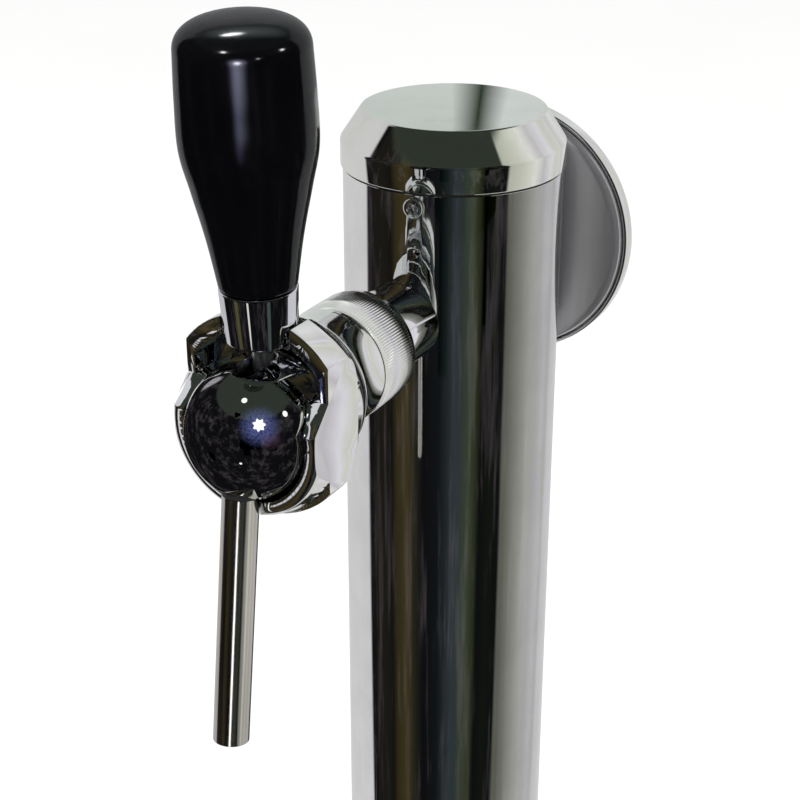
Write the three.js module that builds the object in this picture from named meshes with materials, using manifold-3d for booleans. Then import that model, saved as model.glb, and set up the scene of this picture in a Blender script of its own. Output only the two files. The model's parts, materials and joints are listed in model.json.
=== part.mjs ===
// Draft beer dispenser: one chrome column for a bar counter with a lever tap and a round medallion.
// Millimetres, +Z up. The origin is the column's axis on the counter. The tap points along -Y and
// the medallion faces +Y.

import * as THREE from 'three';
import * as BufferGeometryUtils from 'three/addons/utils/BufferGeometryUtils.js';
import Module from 'manifold-3d';

const wasm = await Module();
wasm.setup();

// Fits
const clearance = 0.3;
const faceGap = 0.1;
const cutOverrun = 3;

// Column, base and cap
const totalHeight = 400;
const columnRadius = 38;
const columnWall = 1.5;
const gasketThickness = 2;
const gasketMargin = 0.5;
const flangeRadius = 57;
const flangeThickness = 8;
const flangeChamfer = 2;
const spigotHeight = 20;
const spigotWall = 5;
const spigotLeadIn = 1;
const counterHoleRadius = 2.75;
const countersinkRadius = 5;
const countersinkDepth = 2.5;
const capHeight = 19.5;
const capBandHeight = 8.8;
const capBandRadius = 38.8;
const capTopRadius = 31.7;
const capWall = 2.5;
const capSkirtLength = 12;
const capSkirtWall = 3;
const capSealThickness = 0.6;

// Cross-head screws through the column wall
const screwThreadRadius = 2;
const screwHeadRadius = 3.5;
const screwHeadHeight = 2.2;
const screwHeadEdge = 0.9;
const screwReach = 5.5;
const recessWidth = 1;
const recessSpan = 3.8;
const recessDepth = 1.1;
const capScrewBelowSeam = 5;
const capScrewAngle = THREE.MathUtils.degToRad(8.3);

// Tap: distances are measured forward from the column's axis
const tapBelowSeam = 46.4;
const shankRadius = 11;
const shankBoreRadius = 4;
const shankRearReach = 12;
const shankCollarRadius = 15;
const shankCollarLength = 3.4;
const neckRadius = 14;
const neckReach = 60.2;
const saddleRadius = 17;
const saddleBackReach = 30.5;
const shankNutAcrossFlats = 30;
const shankNutLength = 8.2;
const couplingNutRadius = 19.5;
const couplingNutLength = 19.8;
const couplingNutLip = 5.5;
const couplingBoreRadius = 15.8;
const couplingPlainBand = 2.2;
const couplingFrontBand = 1.4;
const knurlDepth = 0.35;
const knurlRidges = 60;
const couplingSealThickness = 2;

// Barrel
const barrelThreadRadius = 15.2;
const barrelInletRadius = 5;
const barrelShoulderRadius = 19.2;
const bellFrontRadius = 24.2;
const bellLength = 20.4;
const bellBowShare = 0.55;
const barrelFrontTubeRadius = 20;
const barrelFrontTubeLength = 11.7;
const barrelInletLength = 4.7;
const seatChamberRadius = 11;
const seatChamberLength = 12.5;
const seatBoreRadius = 6.5;
const seatThickness = 3;
const guideBoreRadius = 8.6;
const guideBoreLength = 13;
const frontChamberRadius = 17.3;
const barrelRingThickness = 1.4;
const barrelRingOuterRadius = 23.9;

// Tap body
const bodyRearRadius = 24.6;
const bodyNeckRadius = 26;
const bodyNeckLength = 4;
const bodyRadius = 32.2;
const bodyRearDomeLength = 8;
const bodyLandLength = 8.8;
const bodyFrontEdge = 0.5;
const domeBowShare = 0.8;
const bodyFlatHalfWidth = 25;
const collarBackRadius = 28;
const collarFrontRadius = 26;
const collarLength = 8.2;
const mouthRadius = 27;
const mouthHalfWidth = 22.2;
const collarBevelHeight = 4.6;

// Ball housing: its middle lies forward of and below the tap's axis
const ballRadius = 21.3;
const ballWall = 4;
const ballReach = 125.5;
const ballDrop = 3.5;

// Lever, turning about a pin behind the ball's middle
const pivotBehindBall = 6.7;
const leverLean = THREE.MathUtils.degToRad(2.8);
const leverTravel = THREE.MathUtils.degToRad(25);
const leverRadius = 3.2;
const leverSlotMargin = 0.6;
const leverBossRadius = 4.6;
const leverBossHalfLength = 6;
const leverFootRadius = 1.7;
const leverTipRadius = 2.4;
const leverTipDrop = 7.5;
const leverTopHeight = 62;
const pinRadius = 2;
const pinEndInset = 0.8;
const sealDomeRadius = 12.8;
const sealDomeThickness = 1.5;
const sealDomeAngle = THREE.MathUtils.degToRad(30);

// Handle: heights are measured up the lever from its pin
const ferruleBottomHeight = 27.7;
const ferruleTopHeight = 44.2;
const ferruleBottomRadius = 11;
const ferruleTopRadius = 11.8;
const ferruleEdge = 0.6;
const gripTopHeight = 124;
const gripNeckRadius = 11.6;
const gripBellyRadius = 19.85;
const gripCrownRadius = 19.3;
const gripBellyLowHeight = 86.5;
const gripBellyHighHeight = 100.5;
const gripCrownHeight = 114.3;
const gripFlareHeight = 60;
const gripFlareRadius = 14.2;
const gripSwellHeight = 74.4;
const gripSwellRadius = 17.35;
const insertRadius = 6.5;
const insertLength = 24;

// Valve: a stem along the tap's axis, moved by the lever's tip
const stemFlangeRadius = 6;
const stemFlangeThickness = 2;
const stemNeckRadius = 2.6;
const stemBodyRadius = 3.2;
const stemGuideRadius = 8.3;
const stemGuideLength = 6;
const stemGuideStart = 8.5;
const stemGuideFlatShare = 0.62;
const valveSealRadius = 8.8;
const valveSealThickness = 4;
const forkHalfWidth = 3.5;
const forkSlotHalfWidth = 3;
const forkProngThickness = 2.1;
const forkArmThickness = 3;
const forkFloorThickness = 1.5;
const forkFloorBelowTip = 0.6;
const forkBossClearance = 0.8;

// Spout
const spoutTilt = THREE.MathUtils.degToRad(7.6);
const spoutAhead = 6.15;
const spoutRadius = 5.75;
const spoutWall = 1.5;
const spoutSeat = 0.4;
const spoutLength = 84.7;
const spoutGrooveDepth = 0.75;
const spoutGrooveStart = 1.1;
const spoutGrooveLength = 1.6;

// Beer line and its tail fitting inside the column
const lineOffset = 16;
const lineRadius = 5.9;
const lineBoreRadius = 4.5;
const lineHoleRadius = 9;
const lineTopBelowTap = 23;
const grommetRimRadius = 11;
const grommetRimThickness = 2;
const tailNutAcrossFlats = 27;
const tailNutLip = 3;
const tailNutGrip = 6.5;
const tailWasherThickness = 1.8;
const tailWasherRadius = 10.6;
const elbowFlangeRadius = 10.6;
const elbowFlangeThickness = 3.3;
const elbowRadius = 5;
const elbowBoreRadius = 2.9;
const elbowBend = 10;
const elbowDropToLine = 22;
const tailRadius = 3.8;
const barbRadius = 4.2;
const barbPitch = 4.2;
const barbCount = 3;
const clampWall = 1;
const clampHeight = 6;
const clampBelowLineTop = 3;
const clampEarLength = 3.2;
const clampEarWidth = 2.6;

// Medallion
const medallionBelowSeam = 36.9;
const medallionRadius = 47.7;
const medallionBackReach = 42.5;
const dishRadius = 46;
const dishWall = 1.5;
const dishDepth = 6.4;
const dishEdge = 3.5;
const bezelFace = 1.1;
const bezelOverlap = 3;
const bezelSkirtLength = 5.6;
const backingThickness = 1.7;
const badgePlateThickness = 0.8;
const lensThickness = 2;
const medallionBoltRadius = 4;
const medallionBoltHeadRadius = 8;
const medallionBoltHeadThickness = 1.5;
const medallionBoltRearReach = 24;
const medallionSpacerRadius = 14;
const medallionWasherRadius = 12;
const medallionWasherBackReach = 33;
const medallionNutAcrossFlats = 13;
const medallionNutLength = 6.5;

// Steps round a circle
const columnSides = 40;
const roundSides = 24;
const cavitySides = 20;
const smallSides = 12;
const screwSides = 10;
const curveSteps = 4;

// Heights of the column's pieces above the counter
const flangeBottom = gasketThickness + faceGap;
const flangeTop = flangeBottom + flangeThickness;
const tubeBottom = flangeTop + faceGap;
const seam = totalHeight - capHeight;
const capSealTop = seam - faceGap;
const capSealBottom = capSealTop - capSealThickness;
const tubeTop = capSealBottom - faceGap;
const columnInnerRadius = columnRadius - columnWall;
const tapHeight = seam - tapBelowSeam;
const medallionHeight = seam - medallionBelowSeam;
const baseScrewHeight = flangeTop + spigotHeight / 2;

// The counter screws stand midway between the column and the flange's rim
const counterHoleCircle = (columnRadius + flangeRadius) / 2;

// Distances along the tap's axis
const nutBack = neckReach + clearance;
const nutFront = nutBack + couplingNutLength;
const collarBack = nutBack + couplingNutLip + clearance;
const collarFront = collarBack + shankCollarLength;
const couplingSealBack = collarFront + clearance;
const barrelBack = couplingSealBack + couplingSealThickness + clearance;
const barrelShoulder = nutFront + clearance;
const bellFront = barrelShoulder + bellLength;
const barrelFront = bellFront + barrelFrontTubeLength;
const seatFaceBack = barrelBack + barrelInletLength + seatChamberLength;
const seatFaceFront = seatFaceBack + seatThickness;
const guideBoreFront = seatFaceFront + guideBoreLength;
const barrelRingBack = bellFront + clearance;
const bodyBack = barrelRingBack + barrelRingThickness + clearance;
const pivotReach = ballReach - pivotBehindBall;
const housingBack = barrelFront + 2 * clearance;
const cavityRadius = ballRadius - ballWall;

// Solids

// The closed solid of a geometry, with shared corners merged, slivers dropped and faces pointing out.
function solidOf(geometry) {
  const bare = geometry.index ? geometry.toNonIndexed() : geometry.clone();
  bare.deleteAttribute('normal');
  bare.deleteAttribute('uv');
  const merged = BufferGeometryUtils.mergeVertices(bare);
  const places = merged.attributes.position;
  const kept = [];
  for (let i = 0; i < merged.index.count; i += 3) {
    const [a, b, c] = [0, 1, 2].map((k) => merged.index.getX(i + k));
    if (a !== b && b !== c && c !== a) kept.push([a, b, c]);
  }
  const corner = (i) => new THREE.Vector3().fromBufferAttribute(places, i);
  const volume = kept.reduce((sum, [a, b, c]) => sum + corner(a).dot(corner(b).cross(corner(c))), 0);
  const faces = volume > 0 ? kept : kept.map(([a, b, c]) => [a, c, b]);
  return new wasm.Manifold(new wasm.Mesh({
    numProp: 3,
    vertProperties: new Float32Array(places.array),
    triVerts: new Uint32Array(faces.flat()),
  }));
}

function geometryOf(solid) {
  const mesh = solid.getMesh();
  const geometry = new THREE.BufferGeometry();
  geometry.setAttribute('position', new THREE.BufferAttribute(new Float32Array(mesh.vertProperties), 3));
  geometry.setIndex(new THREE.BufferAttribute(new Uint32Array(mesh.triVerts), 1));
  geometry.computeVertexNormals();
  return geometry;
}

// An outline of [radius, height] points turned about Z. One that stays off the axis closes on itself.
function turnedGeometry(outline, sides = roundSides) {
  const points = outline.map(([radius, height]) => new THREE.Vector2(radius, height));
  if (points[0].x > 0) points.push(points[0].clone());
  return new THREE.LatheGeometry(points, sides).rotateX(Math.PI / 2);
}

function turned(outline, sides = roundSides) {
  return solidOf(turnedGeometry(outline, sides));
}

function rodGeometry(radius, from, to, sides = roundSides) {
  return turnedGeometry([[0, from], [radius, from], [radius, to], [0, to]], sides);
}

function rod(radius, from, to, sides = roundSides) {
  return solidOf(rodGeometry(radius, from, to, sides));
}

function ring(inner, outer, from, to, sides = roundSides) {
  return turned([[inner, from], [outer, from], [outer, to], [inner, to]], sides);
}

function blockGeometry(low, high) {
  const size = high.map((value, axis) => value - low[axis]);
  const middle = high.map((value, axis) => (value + low[axis]) / 2);
  return new THREE.BoxGeometry(...size).translate(...middle);
}

function block(low, high) {
  return solidOf(blockGeometry(low, high));
}

function polygonPoints(radius, sides) {
  const points = [];
  for (let i = 0; i < sides; i += 1) {
    const angle = (i / sides) * 2 * Math.PI;
    points.push(new THREE.Vector2(radius * Math.cos(angle), radius * Math.sin(angle)));
  }
  return points;
}

function extruded(points, from, to) {
  const shape = new THREE.Shape(points);
  const settings = { depth: to - from, bevelEnabled: false };
  return solidOf(new THREE.ExtrudeGeometry(shape, settings).translate(0, 0, from));
}

// A hexagon nut along Z with its corners turned down at both ends.
function hexNut(acrossFlats, boreRadius, from, to) {
  const cornerRadius = acrossFlats / Math.sqrt(3);
  const turnDown = cornerRadius - acrossFlats / 2;
  const envelope = turned([
    [0, from], [acrossFlats / 2, from], [cornerRadius, from + turnDown],
    [cornerRadius, to - turnDown], [acrossFlats / 2, to], [0, to],
  ]);
  return extruded(polygonPoints(cornerRadius, 6), from, to)
    .intersect(envelope)
    .subtract(rod(boreRadius, from - cutOverrun, to + cutOverrun));
}

function curvePoints(start, control, end) {
  const curve = new THREE.QuadraticBezierCurve(
    new THREE.Vector2(...start),
    new THREE.Vector2(...control),
    new THREE.Vector2(...end),
  );
  return curve.getPoints(curveSteps).map((point) => [point.x, point.y]);
}

// Turns what was built along +Z to face the tap's way, the medallion's way or sideways
const facingFront = (geometry) => geometry.rotateX(Math.PI / 2);
const facingBack = (geometry) => geometry.rotateX(-Math.PI / 2);
const sideways = (geometry) => geometry.rotateY(Math.PI / 2);

// Finishes

const finish = (color, roughness, metalness) => (
  () => new THREE.MeshStandardMaterial({ color, roughness, metalness })
);
const chrome = finish(0xd9dcdd, 0.06, 1);
const satinSteel = finish(0x9c9a96, 0.34, 1);
const stainless = finish(0xb4b5b6, 0.28, 1);
const brass = finish(0xb8923e, 0.32, 1);
const blackPlastic = finish(0x08080a, 0.12, 0);
const rubber = finish(0x141414, 0.75, 0);
const hosePlastic = finish(0xe4e6e2, 0.35, 0);
const badgePaint = finish(0xe6e4de, 0.4, 0);
const lensPlastic = finish(0xf4f6f6, 0.05, 0);

function piece(name, solid, material) {
  const mesh = new THREE.Mesh(geometryOf(solid), material());
  mesh.name = name;
  return mesh;
}

// Base

function counterScrewAngles() {
  return [0, 1, 2, 3].map((index) => (index + 0.5) * (Math.PI / 2));
}

function atCircle(geometry, circle, angle) {
  return geometry.translate(circle * Math.cos(angle), circle * Math.sin(angle), 0);
}

function baseGasket() {
  const low = -cutOverrun;
  const high = gasketThickness + cutOverrun;
  let solid = rod(flangeRadius - gasketMargin, 0, gasketThickness, columnSides)
    .subtract(solidOf(rodGeometry(lineHoleRadius, low, high, smallSides).translate(0, lineOffset, 0)));
  for (const angle of counterScrewAngles()) {
    const hole = rodGeometry(counterHoleRadius, low, high, screwSides);
    solid = solid.subtract(solidOf(atCircle(hole, counterHoleCircle, angle)));
  }
  return piece('base_gasket', solid, rubber);
}

function columnScrewHole(angle, height) {
  const innerReach = columnInnerRadius - Math.max(spigotWall, capSkirtWall) - cutOverrun;
  const hole = rodGeometry(screwThreadRadius + clearance, innerReach, columnRadius + cutOverrun, screwSides);
  return solidOf(facingFront(hole).rotateZ(angle).translate(0, 0, height));
}

function baseScrewAngles() {
  return [1, 3, 5].map((index) => index * (Math.PI / 3));
}

function baseFlange() {
  const spigotOuter = columnInnerRadius - clearance;
  const spigotInner = spigotOuter - spigotWall;
  const spigotTop = flangeTop + spigotHeight;
  const low = flangeBottom - cutOverrun;
  const high = flangeTop + cutOverrun;
  let solid = turned([
    [0, flangeBottom], [flangeRadius, flangeBottom], [flangeRadius, flangeTop - flangeChamfer],
    [flangeRadius - flangeChamfer, flangeTop], [spigotOuter, flangeTop],
    [spigotOuter, spigotTop - spigotLeadIn], [spigotOuter - spigotLeadIn, spigotTop],
    [spigotInner, spigotTop], [spigotInner, flangeTop], [0, flangeTop],
  ], columnSides);
  solid = solid.subtract(
    solidOf(rodGeometry(lineHoleRadius, low, high, smallSides).translate(0, lineOffset, 0)),
  );
  for (const angle of counterScrewAngles()) {
    const hole = turnedGeometry([
      [0, low], [counterHoleRadius, low], [counterHoleRadius, flangeTop - countersinkDepth],
      [countersinkRadius, flangeTop], [countersinkRadius, high], [0, high],
    ], screwSides);
    solid = solid.subtract(solidOf(atCircle(hole, counterHoleCircle, angle)));
  }
  for (const angle of baseScrewAngles()) {
    solid = solid.subtract(columnScrewHole(angle, baseScrewHeight));
  }
  return piece('base_flange', solid, chrome);
}

// A cross-head screw along +Z, with the underside of its head at the given distance.
function crossHeadScrew(underHead) {
  const headTop = underHead + screwHeadHeight;
  const recessBottom = headTop - recessDepth;
  const recessTop = headTop + cutOverrun;
  const crown = curvePoints(
    [screwHeadRadius, underHead + screwHeadEdge],
    [screwHeadRadius, headTop],
    [0, headTop],
  );
  const body = turned([
    [0, underHead - screwReach], [screwThreadRadius, underHead - screwReach],
    [screwThreadRadius, underHead], [screwHeadRadius, underHead], ...crown,
  ], screwSides);
  const arm = (halfX, halfY) => block([-halfX, -halfY, recessBottom], [halfX, halfY, recessTop]);
  return body
    .subtract(arm(recessSpan / 2, recessWidth / 2))
    .subtract(arm(recessWidth / 2, recessSpan / 2));
}

function columnScrew(name, angle, height) {
  const screw = piece(name, crossHeadScrew(columnRadius + faceGap), chrome);
  facingFront(screw.geometry);
  screw.rotation.z = angle;
  screw.position.z = height;
  return screw;
}

// Column and cap

function columnTube() {
  const shankHole = rodGeometry(
    shankRadius + clearance, columnInnerRadius - cutOverrun, columnRadius + cutOverrun,
  );
  const boltHole = rodGeometry(
    medallionBoltRadius + clearance,
    columnInnerRadius - cutOverrun,
    columnRadius + cutOverrun,
    smallSides,
  );
  let solid = ring(columnInnerRadius, columnRadius, tubeBottom, tubeTop, columnSides)
    .subtract(solidOf(facingFront(shankHole).translate(0, 0, tapHeight)))
    .subtract(solidOf(facingBack(boltHole).translate(0, 0, medallionHeight)))
    .subtract(columnScrewHole(capScrewAngle, seam - capScrewBelowSeam));
  for (const angle of baseScrewAngles()) {
    solid = solid.subtract(columnScrewHole(angle, baseScrewHeight));
  }
  return piece('column_tube', solid, chrome);
}

function capSeal() {
  const solid = ring(columnInnerRadius, columnRadius, capSealBottom, capSealTop, columnSides);
  return piece('cap_seal', solid, rubber);
}

function topCap() {
  const skirtOuter = columnInnerRadius - clearance;
  const skirtInner = skirtOuter - capSkirtWall;
  const slant = (capBandRadius - capTopRadius) / (capHeight - capBandHeight);
  const innerBand = seam + capBandHeight - capWall;
  const innerTop = totalHeight - capWall;
  const solid = turned([
    [0, innerTop], [skirtInner - slant * (innerTop - innerBand), innerTop], [skirtInner, innerBand],
    [skirtInner, seam - capSkirtLength], [skirtOuter, seam - capSkirtLength], [skirtOuter, seam],
    [capBandRadius, seam], [capBandRadius, seam + capBandHeight], [capTopRadius, totalHeight],
    [0, totalHeight],
  ], columnSides).subtract(columnScrewHole(capScrewAngle, seam - capScrewBelowSeam));
  return piece('top_cap', solid, chrome);
}

// Shank through the column wall. Tap pieces are built along +Z with +Y up, and their group turns
// them to face forward.

function columnCylinder(radius) {
  const reach = saddleRadius + neckRadius;
  return solidOf(facingBack(rodGeometry(radius, -reach, reach, columnSides)));
}

function tapShank() {
  const solid = turned([
    [shankBoreRadius, shankRearReach], [shankRadius, shankRearReach], [shankRadius, collarBack],
    [shankCollarRadius, collarBack], [shankCollarRadius, collarFront], [shankBoreRadius, collarFront],
  ]);
  return piece('tap_shank', solid, stainless);
}

function shankSpacer() {
  const solid = ring(shankRadius + clearance, neckRadius, columnInnerRadius - cutOverrun, neckReach)
    .subtract(columnCylinder(columnRadius + clearance));
  return piece('shank_spacer', solid, chrome);
}

function saddleWasher() {
  const solid = ring(shankRadius + clearance, saddleRadius, saddleBackReach, columnRadius)
    .intersect(columnCylinder(columnInnerRadius - clearance));
  return piece('saddle_washer', solid, stainless);
}

function shankNut() {
  const front = saddleBackReach - clearance;
  const solid = hexNut(shankNutAcrossFlats, shankRadius + clearance, front - shankNutLength, front);
  return piece('shank_nut', solid, brass);
}

// Straight knurl: a star outline between two plain bands.
function couplingNut() {
  const knurlBack = nutBack + couplingPlainBand;
  const knurlFront = nutFront - couplingFrontBand;
  const grooveRadius = couplingNutRadius - knurlDepth;
  const star = [];
  for (let i = 0; i < 2 * knurlRidges; i += 1) {
    const angle = (i / knurlRidges) * Math.PI;
    const radius = i % 2 ? grooveRadius : couplingNutRadius;
    star.push(new THREE.Vector2(radius * Math.cos(angle), radius * Math.sin(angle)));
  }
  const bands = turned([
    [0, nutBack], [grooveRadius - knurlDepth, nutBack], [grooveRadius, nutBack + knurlDepth],
    [grooveRadius, nutFront - knurlDepth], [grooveRadius - knurlDepth, nutFront], [0, nutFront],
  ]);
  const bores = turned([
    [0, nutBack - cutOverrun], [shankRadius + clearance, nutBack - cutOverrun],
    [shankRadius + clearance, nutBack + couplingNutLip],
    [couplingBoreRadius, nutBack + couplingNutLip],
    [couplingBoreRadius, nutFront + cutOverrun], [0, nutFront + cutOverrun],
  ]);
  const solid = bands.add(extruded(star, knurlBack, knurlFront)).subtract(bores);
  return piece('coupling_nut', solid, chrome);
}

function couplingSeal() {
  const back = couplingSealBack;
  const solid = ring(shankBoreRadius, shankCollarRadius, back, back + couplingSealThickness);
  return piece('coupling_seal', solid, rubber);
}

// Barrel with the valve seat

function tapBarrel() {
  const bell = curvePoints(
    [barrelShoulderRadius, barrelShoulder],
    [barrelShoulderRadius, barrelShoulder + bellBowShare * bellLength],
    [bellFrontRadius, bellFront],
  );
  const solid = turned([
    [barrelInletRadius, barrelBack], [barrelThreadRadius, barrelBack],
    [barrelThreadRadius, barrelShoulder], ...bell,
    [barrelFrontTubeRadius, bellFront], [barrelFrontTubeRadius, barrelFront],
    [frontChamberRadius, barrelFront], [frontChamberRadius, guideBoreFront],
    [guideBoreRadius, guideBoreFront], [guideBoreRadius, seatFaceFront],
    [seatBoreRadius, seatFaceFront], [seatBoreRadius, seatFaceBack],
    [seatChamberRadius, seatFaceBack], [seatChamberRadius, barrelBack + barrelInletLength],
    [barrelInletRadius, barrelBack + barrelInletLength],
  ]);
  return piece('tap_barrel', solid, chrome);
}

function barrelRing() {
  const inner = barrelFrontTubeRadius + clearance;
  const front = barrelRingBack + barrelRingThickness;
  return piece('barrel_ring', ring(inner, barrelRingOuterRadius, barrelRingBack, front), rubber);
}

// Places a piece that was built along the spout, where +Y is ahead of it, in the tap's frame.
function alongSpout(geometry) {
  return geometry
    .translate(0, spoutAhead, 0)
    .rotateX(Math.PI / 2 - spoutTilt)
    .translate(0, -ballDrop, ballReach);
}

// The mouth above the collar, which lays the ball housing's top free: a recess in the drum's front
// and a bevel down to the collar's front edge.
function tapMouth(drumFront, collarEnd) {
  const low = collarBevelHeight + collarLength - ballDrop;
  const high = bodyRadius + cutOverrun;
  const end = collarEnd + cutOverrun;
  const profile = new THREE.Shape([
    new THREE.Vector2(housingBack, low),
    new THREE.Vector2(drumFront, low),
    new THREE.Vector2(end, low - collarLength - cutOverrun),
    new THREE.Vector2(end, high),
    new THREE.Vector2(housingBack, high),
  ]);
  const opening = new THREE.ExtrudeGeometry(profile, { depth: 2 * high, bevelEnabled: false })
    .translate(0, 0, -high)
    .rotateY(-Math.PI / 2);
  const recess = rod(mouthRadius, housingBack - cutOverrun, end, columnSides).intersect(block(
    [-mouthHalfWidth, -high, housingBack - cutOverrun],
    [mouthHalfWidth, high, end],
  ));
  return solidOf(opening).intersect(recess.add(block([-high, -high, drumFront], [high, high, end])));
}

// Tap body: a drum with a domed back and two side flats. A collar in front of it tapers about the
// ball housing. A notch above makes room for the handle's ferrule and a scallop below for the spout.
function tapBody() {
  const domeBack = bodyBack + bodyNeckLength;
  const landBack = domeBack + bodyRearDomeLength;
  const drumFront = landBack + bodyLandLength;
  const collarEnd = drumFront + collarLength;
  const rearDome = curvePoints(
    [bodyNeckRadius, domeBack],
    [bodyRadius, landBack - domeBowShare * bodyRearDomeLength],
    [bodyRadius, landBack],
  );
  const drum = turned([
    [0, bodyBack], [bodyRearRadius, bodyBack], ...rearDome, [bodyRadius, drumFront - bodyFrontEdge],
    [bodyRadius - bodyFrontEdge, drumFront], [0, drumFront],
  ], columnSides);
  const collar = solidOf(turnedGeometry([
    [0, landBack], [collarBackRadius, landBack], [collarBackRadius, drumFront],
    [collarFrontRadius, collarEnd], [0, collarEnd],
  ], columnSides).translate(0, -ballDrop, 0));
  const backBore = rod(barrelFrontTubeRadius + clearance, bodyBack - cutOverrun, housingBack);
  const ballBore = solidOf(
    rodGeometry(ballRadius + clearance, housingBack - clearance, collarEnd + cutOverrun)
      .translate(0, -ballDrop, 0),
  );
  const flats = [-1, 1].map((side) => {
    const inner = side * bodyFlatHalfWidth;
    const outer = side * (bodyRadius + cutOverrun);
    return block(
      [Math.min(inner, outer), -bodyRadius - cutOverrun, bodyBack - cutOverrun],
      [Math.max(inner, outer), bodyRadius + cutOverrun, collarEnd + cutOverrun],
    );
  });
  const ferruleWidest = Math.max(ferruleBottomRadius, ferruleTopRadius) + clearance;
  const ferruleReach = pivotReach + Math.sin(leverLean) * ferruleBottomHeight;
  const notch = block(
    [-ferruleWidest, 0, ferruleReach - ferruleWidest - 2 * clearance],
    [ferruleWidest, bodyRadius + cutOverrun, collarEnd + cutOverrun],
  );
  const scallop = solidOf(alongSpout(
    rodGeometry(spoutRadius + 2 * clearance, cavityRadius, ballRadius + spoutLength, smallSides),
  ));
  const cuts = [backBore, ballBore, ...flats, notch, scallop, tapMouth(drumFront, collarEnd)];
  const solid = cuts.reduce((rest, cut) => rest.subtract(cut), drum.add(collar));
  return piece('tap_body', solid, chrome);
}

// Ball housing: a hollow ball with a skirt that seats in the tap body. Built about the ball's middle.

function sectorPoints(radius, from, to) {
  const points = [new THREE.Vector2(0, 0)];
  for (let i = 0; i <= curveSteps; i += 1) {
    const angle = from + ((to - from) * i) / curveSteps;
    points.push(new THREE.Vector2(radius * Math.sin(angle), radius * Math.cos(angle)));
  }
  return points;
}

// The lever's path through the ball's top: the rod at both ends of its travel, and what it sweeps.
function leverSlot() {
  const halfWidth = leverRadius + leverSlotMargin;
  const reach = 2 * ballRadius;
  const shape = new THREE.Shape(sectorPoints(reach, leverLean, leverLean + leverTravel));
  const swept = new THREE.ExtrudeGeometry(shape, { depth: 2 * halfWidth, bevelEnabled: false });
  swept.translate(0, 0, -halfWidth).rotateY(-Math.PI / 2);
  const ends = [leverLean, leverLean + leverTravel].map((angle) => solidOf(
    rodGeometry(halfWidth, 0, reach).rotateX(angle - Math.PI / 2).translate(0, 0, -pivotBehindBall),
  ));
  return ends.reduce(
    (whole, end) => whole.add(end),
    solidOf(swept.translate(0, 0, -pivotBehindBall)),
  );
}

function ballHousing() {
  const skirtBack = housingBack + clearance - ballReach;
  const ball = solidOf(new THREE.SphereGeometry(ballRadius, roundSides, roundSides / 2));
  const hollow = solidOf(new THREE.SphereGeometry(cavityRadius, cavitySides, cavitySides / 2));
  const skirt = rod(ballRadius, skirtBack, 0);
  const behind = block(
    [-ballRadius - cutOverrun, -ballRadius - cutOverrun, -ballRadius - cutOverrun],
    [ballRadius + cutOverrun, ballRadius + cutOverrun, skirtBack],
  );
  const skirtBore = rod(cavityRadius, skirtBack - cutOverrun, 0, cavitySides);
  const spoutBore = solidOf(
    rodGeometry(spoutRadius + clearance, 0, ballRadius + cutOverrun, smallSides)
      .translate(0, spoutAhead, 0)
      .rotateX(Math.PI / 2 - spoutTilt),
  );
  const pinHole = solidOf(
    sideways(rodGeometry(pinRadius + clearance, -2 * ballRadius, 2 * ballRadius, smallSides))
      .translate(0, 0, -pivotBehindBall),
  );
  const shell = ball.add(skirt).subtract(behind);
  const solid = [hollow, skirtBore, spoutBore, pinHole, leverSlot()]
    .reduce((rest, cut) => rest.subtract(cut), shell);
  return piece('ball_housing', solid, chrome);
}

function pivotPin() {
  const halfLength = ballRadius - pinEndInset;
  const pin = piece('pivot_pin', rod(pinRadius, -halfLength, halfLength, smallSides), stainless);
  sideways(pin.geometry);
  return pin;
}

// Lever and handle: built up +Z from the pin

function leverRod() {
  const tip = [];
  for (let i = 0; i <= curveSteps; i += 1) {
    const angle = -Math.PI / 2 + (i / curveSteps) * (Math.PI / 2 + Math.PI / 4);
    tip.push([
      leverTipRadius * Math.cos(angle),
      -leverTipDrop + leverTipRadius * Math.sin(angle),
    ]);
  }
  tip[0][0] = 0;
  const spine = turned([
    ...tip, [leverFootRadius, 0], [leverRadius, 0], [leverRadius, leverTopHeight], [0, leverTopHeight],
  ], smallSides);
  const boss = rodGeometry(leverBossRadius, -leverBossHalfLength, leverBossHalfLength, smallSides);
  const bore = rodGeometry(
    pinRadius + clearance,
    -leverBossHalfLength - cutOverrun,
    leverBossHalfLength + cutOverrun,
    smallSides,
  );
  const solid = spine.add(solidOf(sideways(boss))).subtract(solidOf(sideways(bore)));
  return piece('lever_rod', solid, stainless);
}

function leverSeal() {
  const holeAngle = (radius) => Math.asin((leverRadius + clearance) / radius);
  const arc = (radius, from, to) => {
    const points = [];
    for (let i = 0; i <= curveSteps; i += 1) {
      const angle = from + ((to - from) * i) / curveSteps;
      points.push([radius * Math.sin(angle), radius * Math.cos(angle)]);
    }
    return points;
  };
  const innerRadius = sealDomeRadius - sealDomeThickness;
  const solid = turned([
    ...arc(innerRadius, holeAngle(innerRadius), sealDomeAngle),
    ...arc(sealDomeRadius, sealDomeAngle, holeAngle(sealDomeRadius)),
  ], smallSides);
  return piece('lever_seal', solid, rubber);
}

function handleFerrule() {
  const boreRadius = leverRadius + clearance;
  const solid = turned([
    [boreRadius, ferruleBottomHeight], [ferruleBottomRadius - ferruleEdge, ferruleBottomHeight],
    [ferruleBottomRadius, ferruleBottomHeight + ferruleEdge],
    [ferruleTopRadius, ferruleTopHeight - ferruleEdge],
    [ferruleTopRadius - ferruleEdge, ferruleTopHeight], [boreRadius, ferruleTopHeight],
  ]);
  return piece('handle_ferrule', solid, chrome);
}

function handleInsert() {
  const bottom = ferruleTopHeight + clearance;
  const solid = ring(leverRadius + clearance, insertRadius, bottom, bottom + insertLength, smallSides);
  return piece('handle_insert', solid, brass);
}

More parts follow.
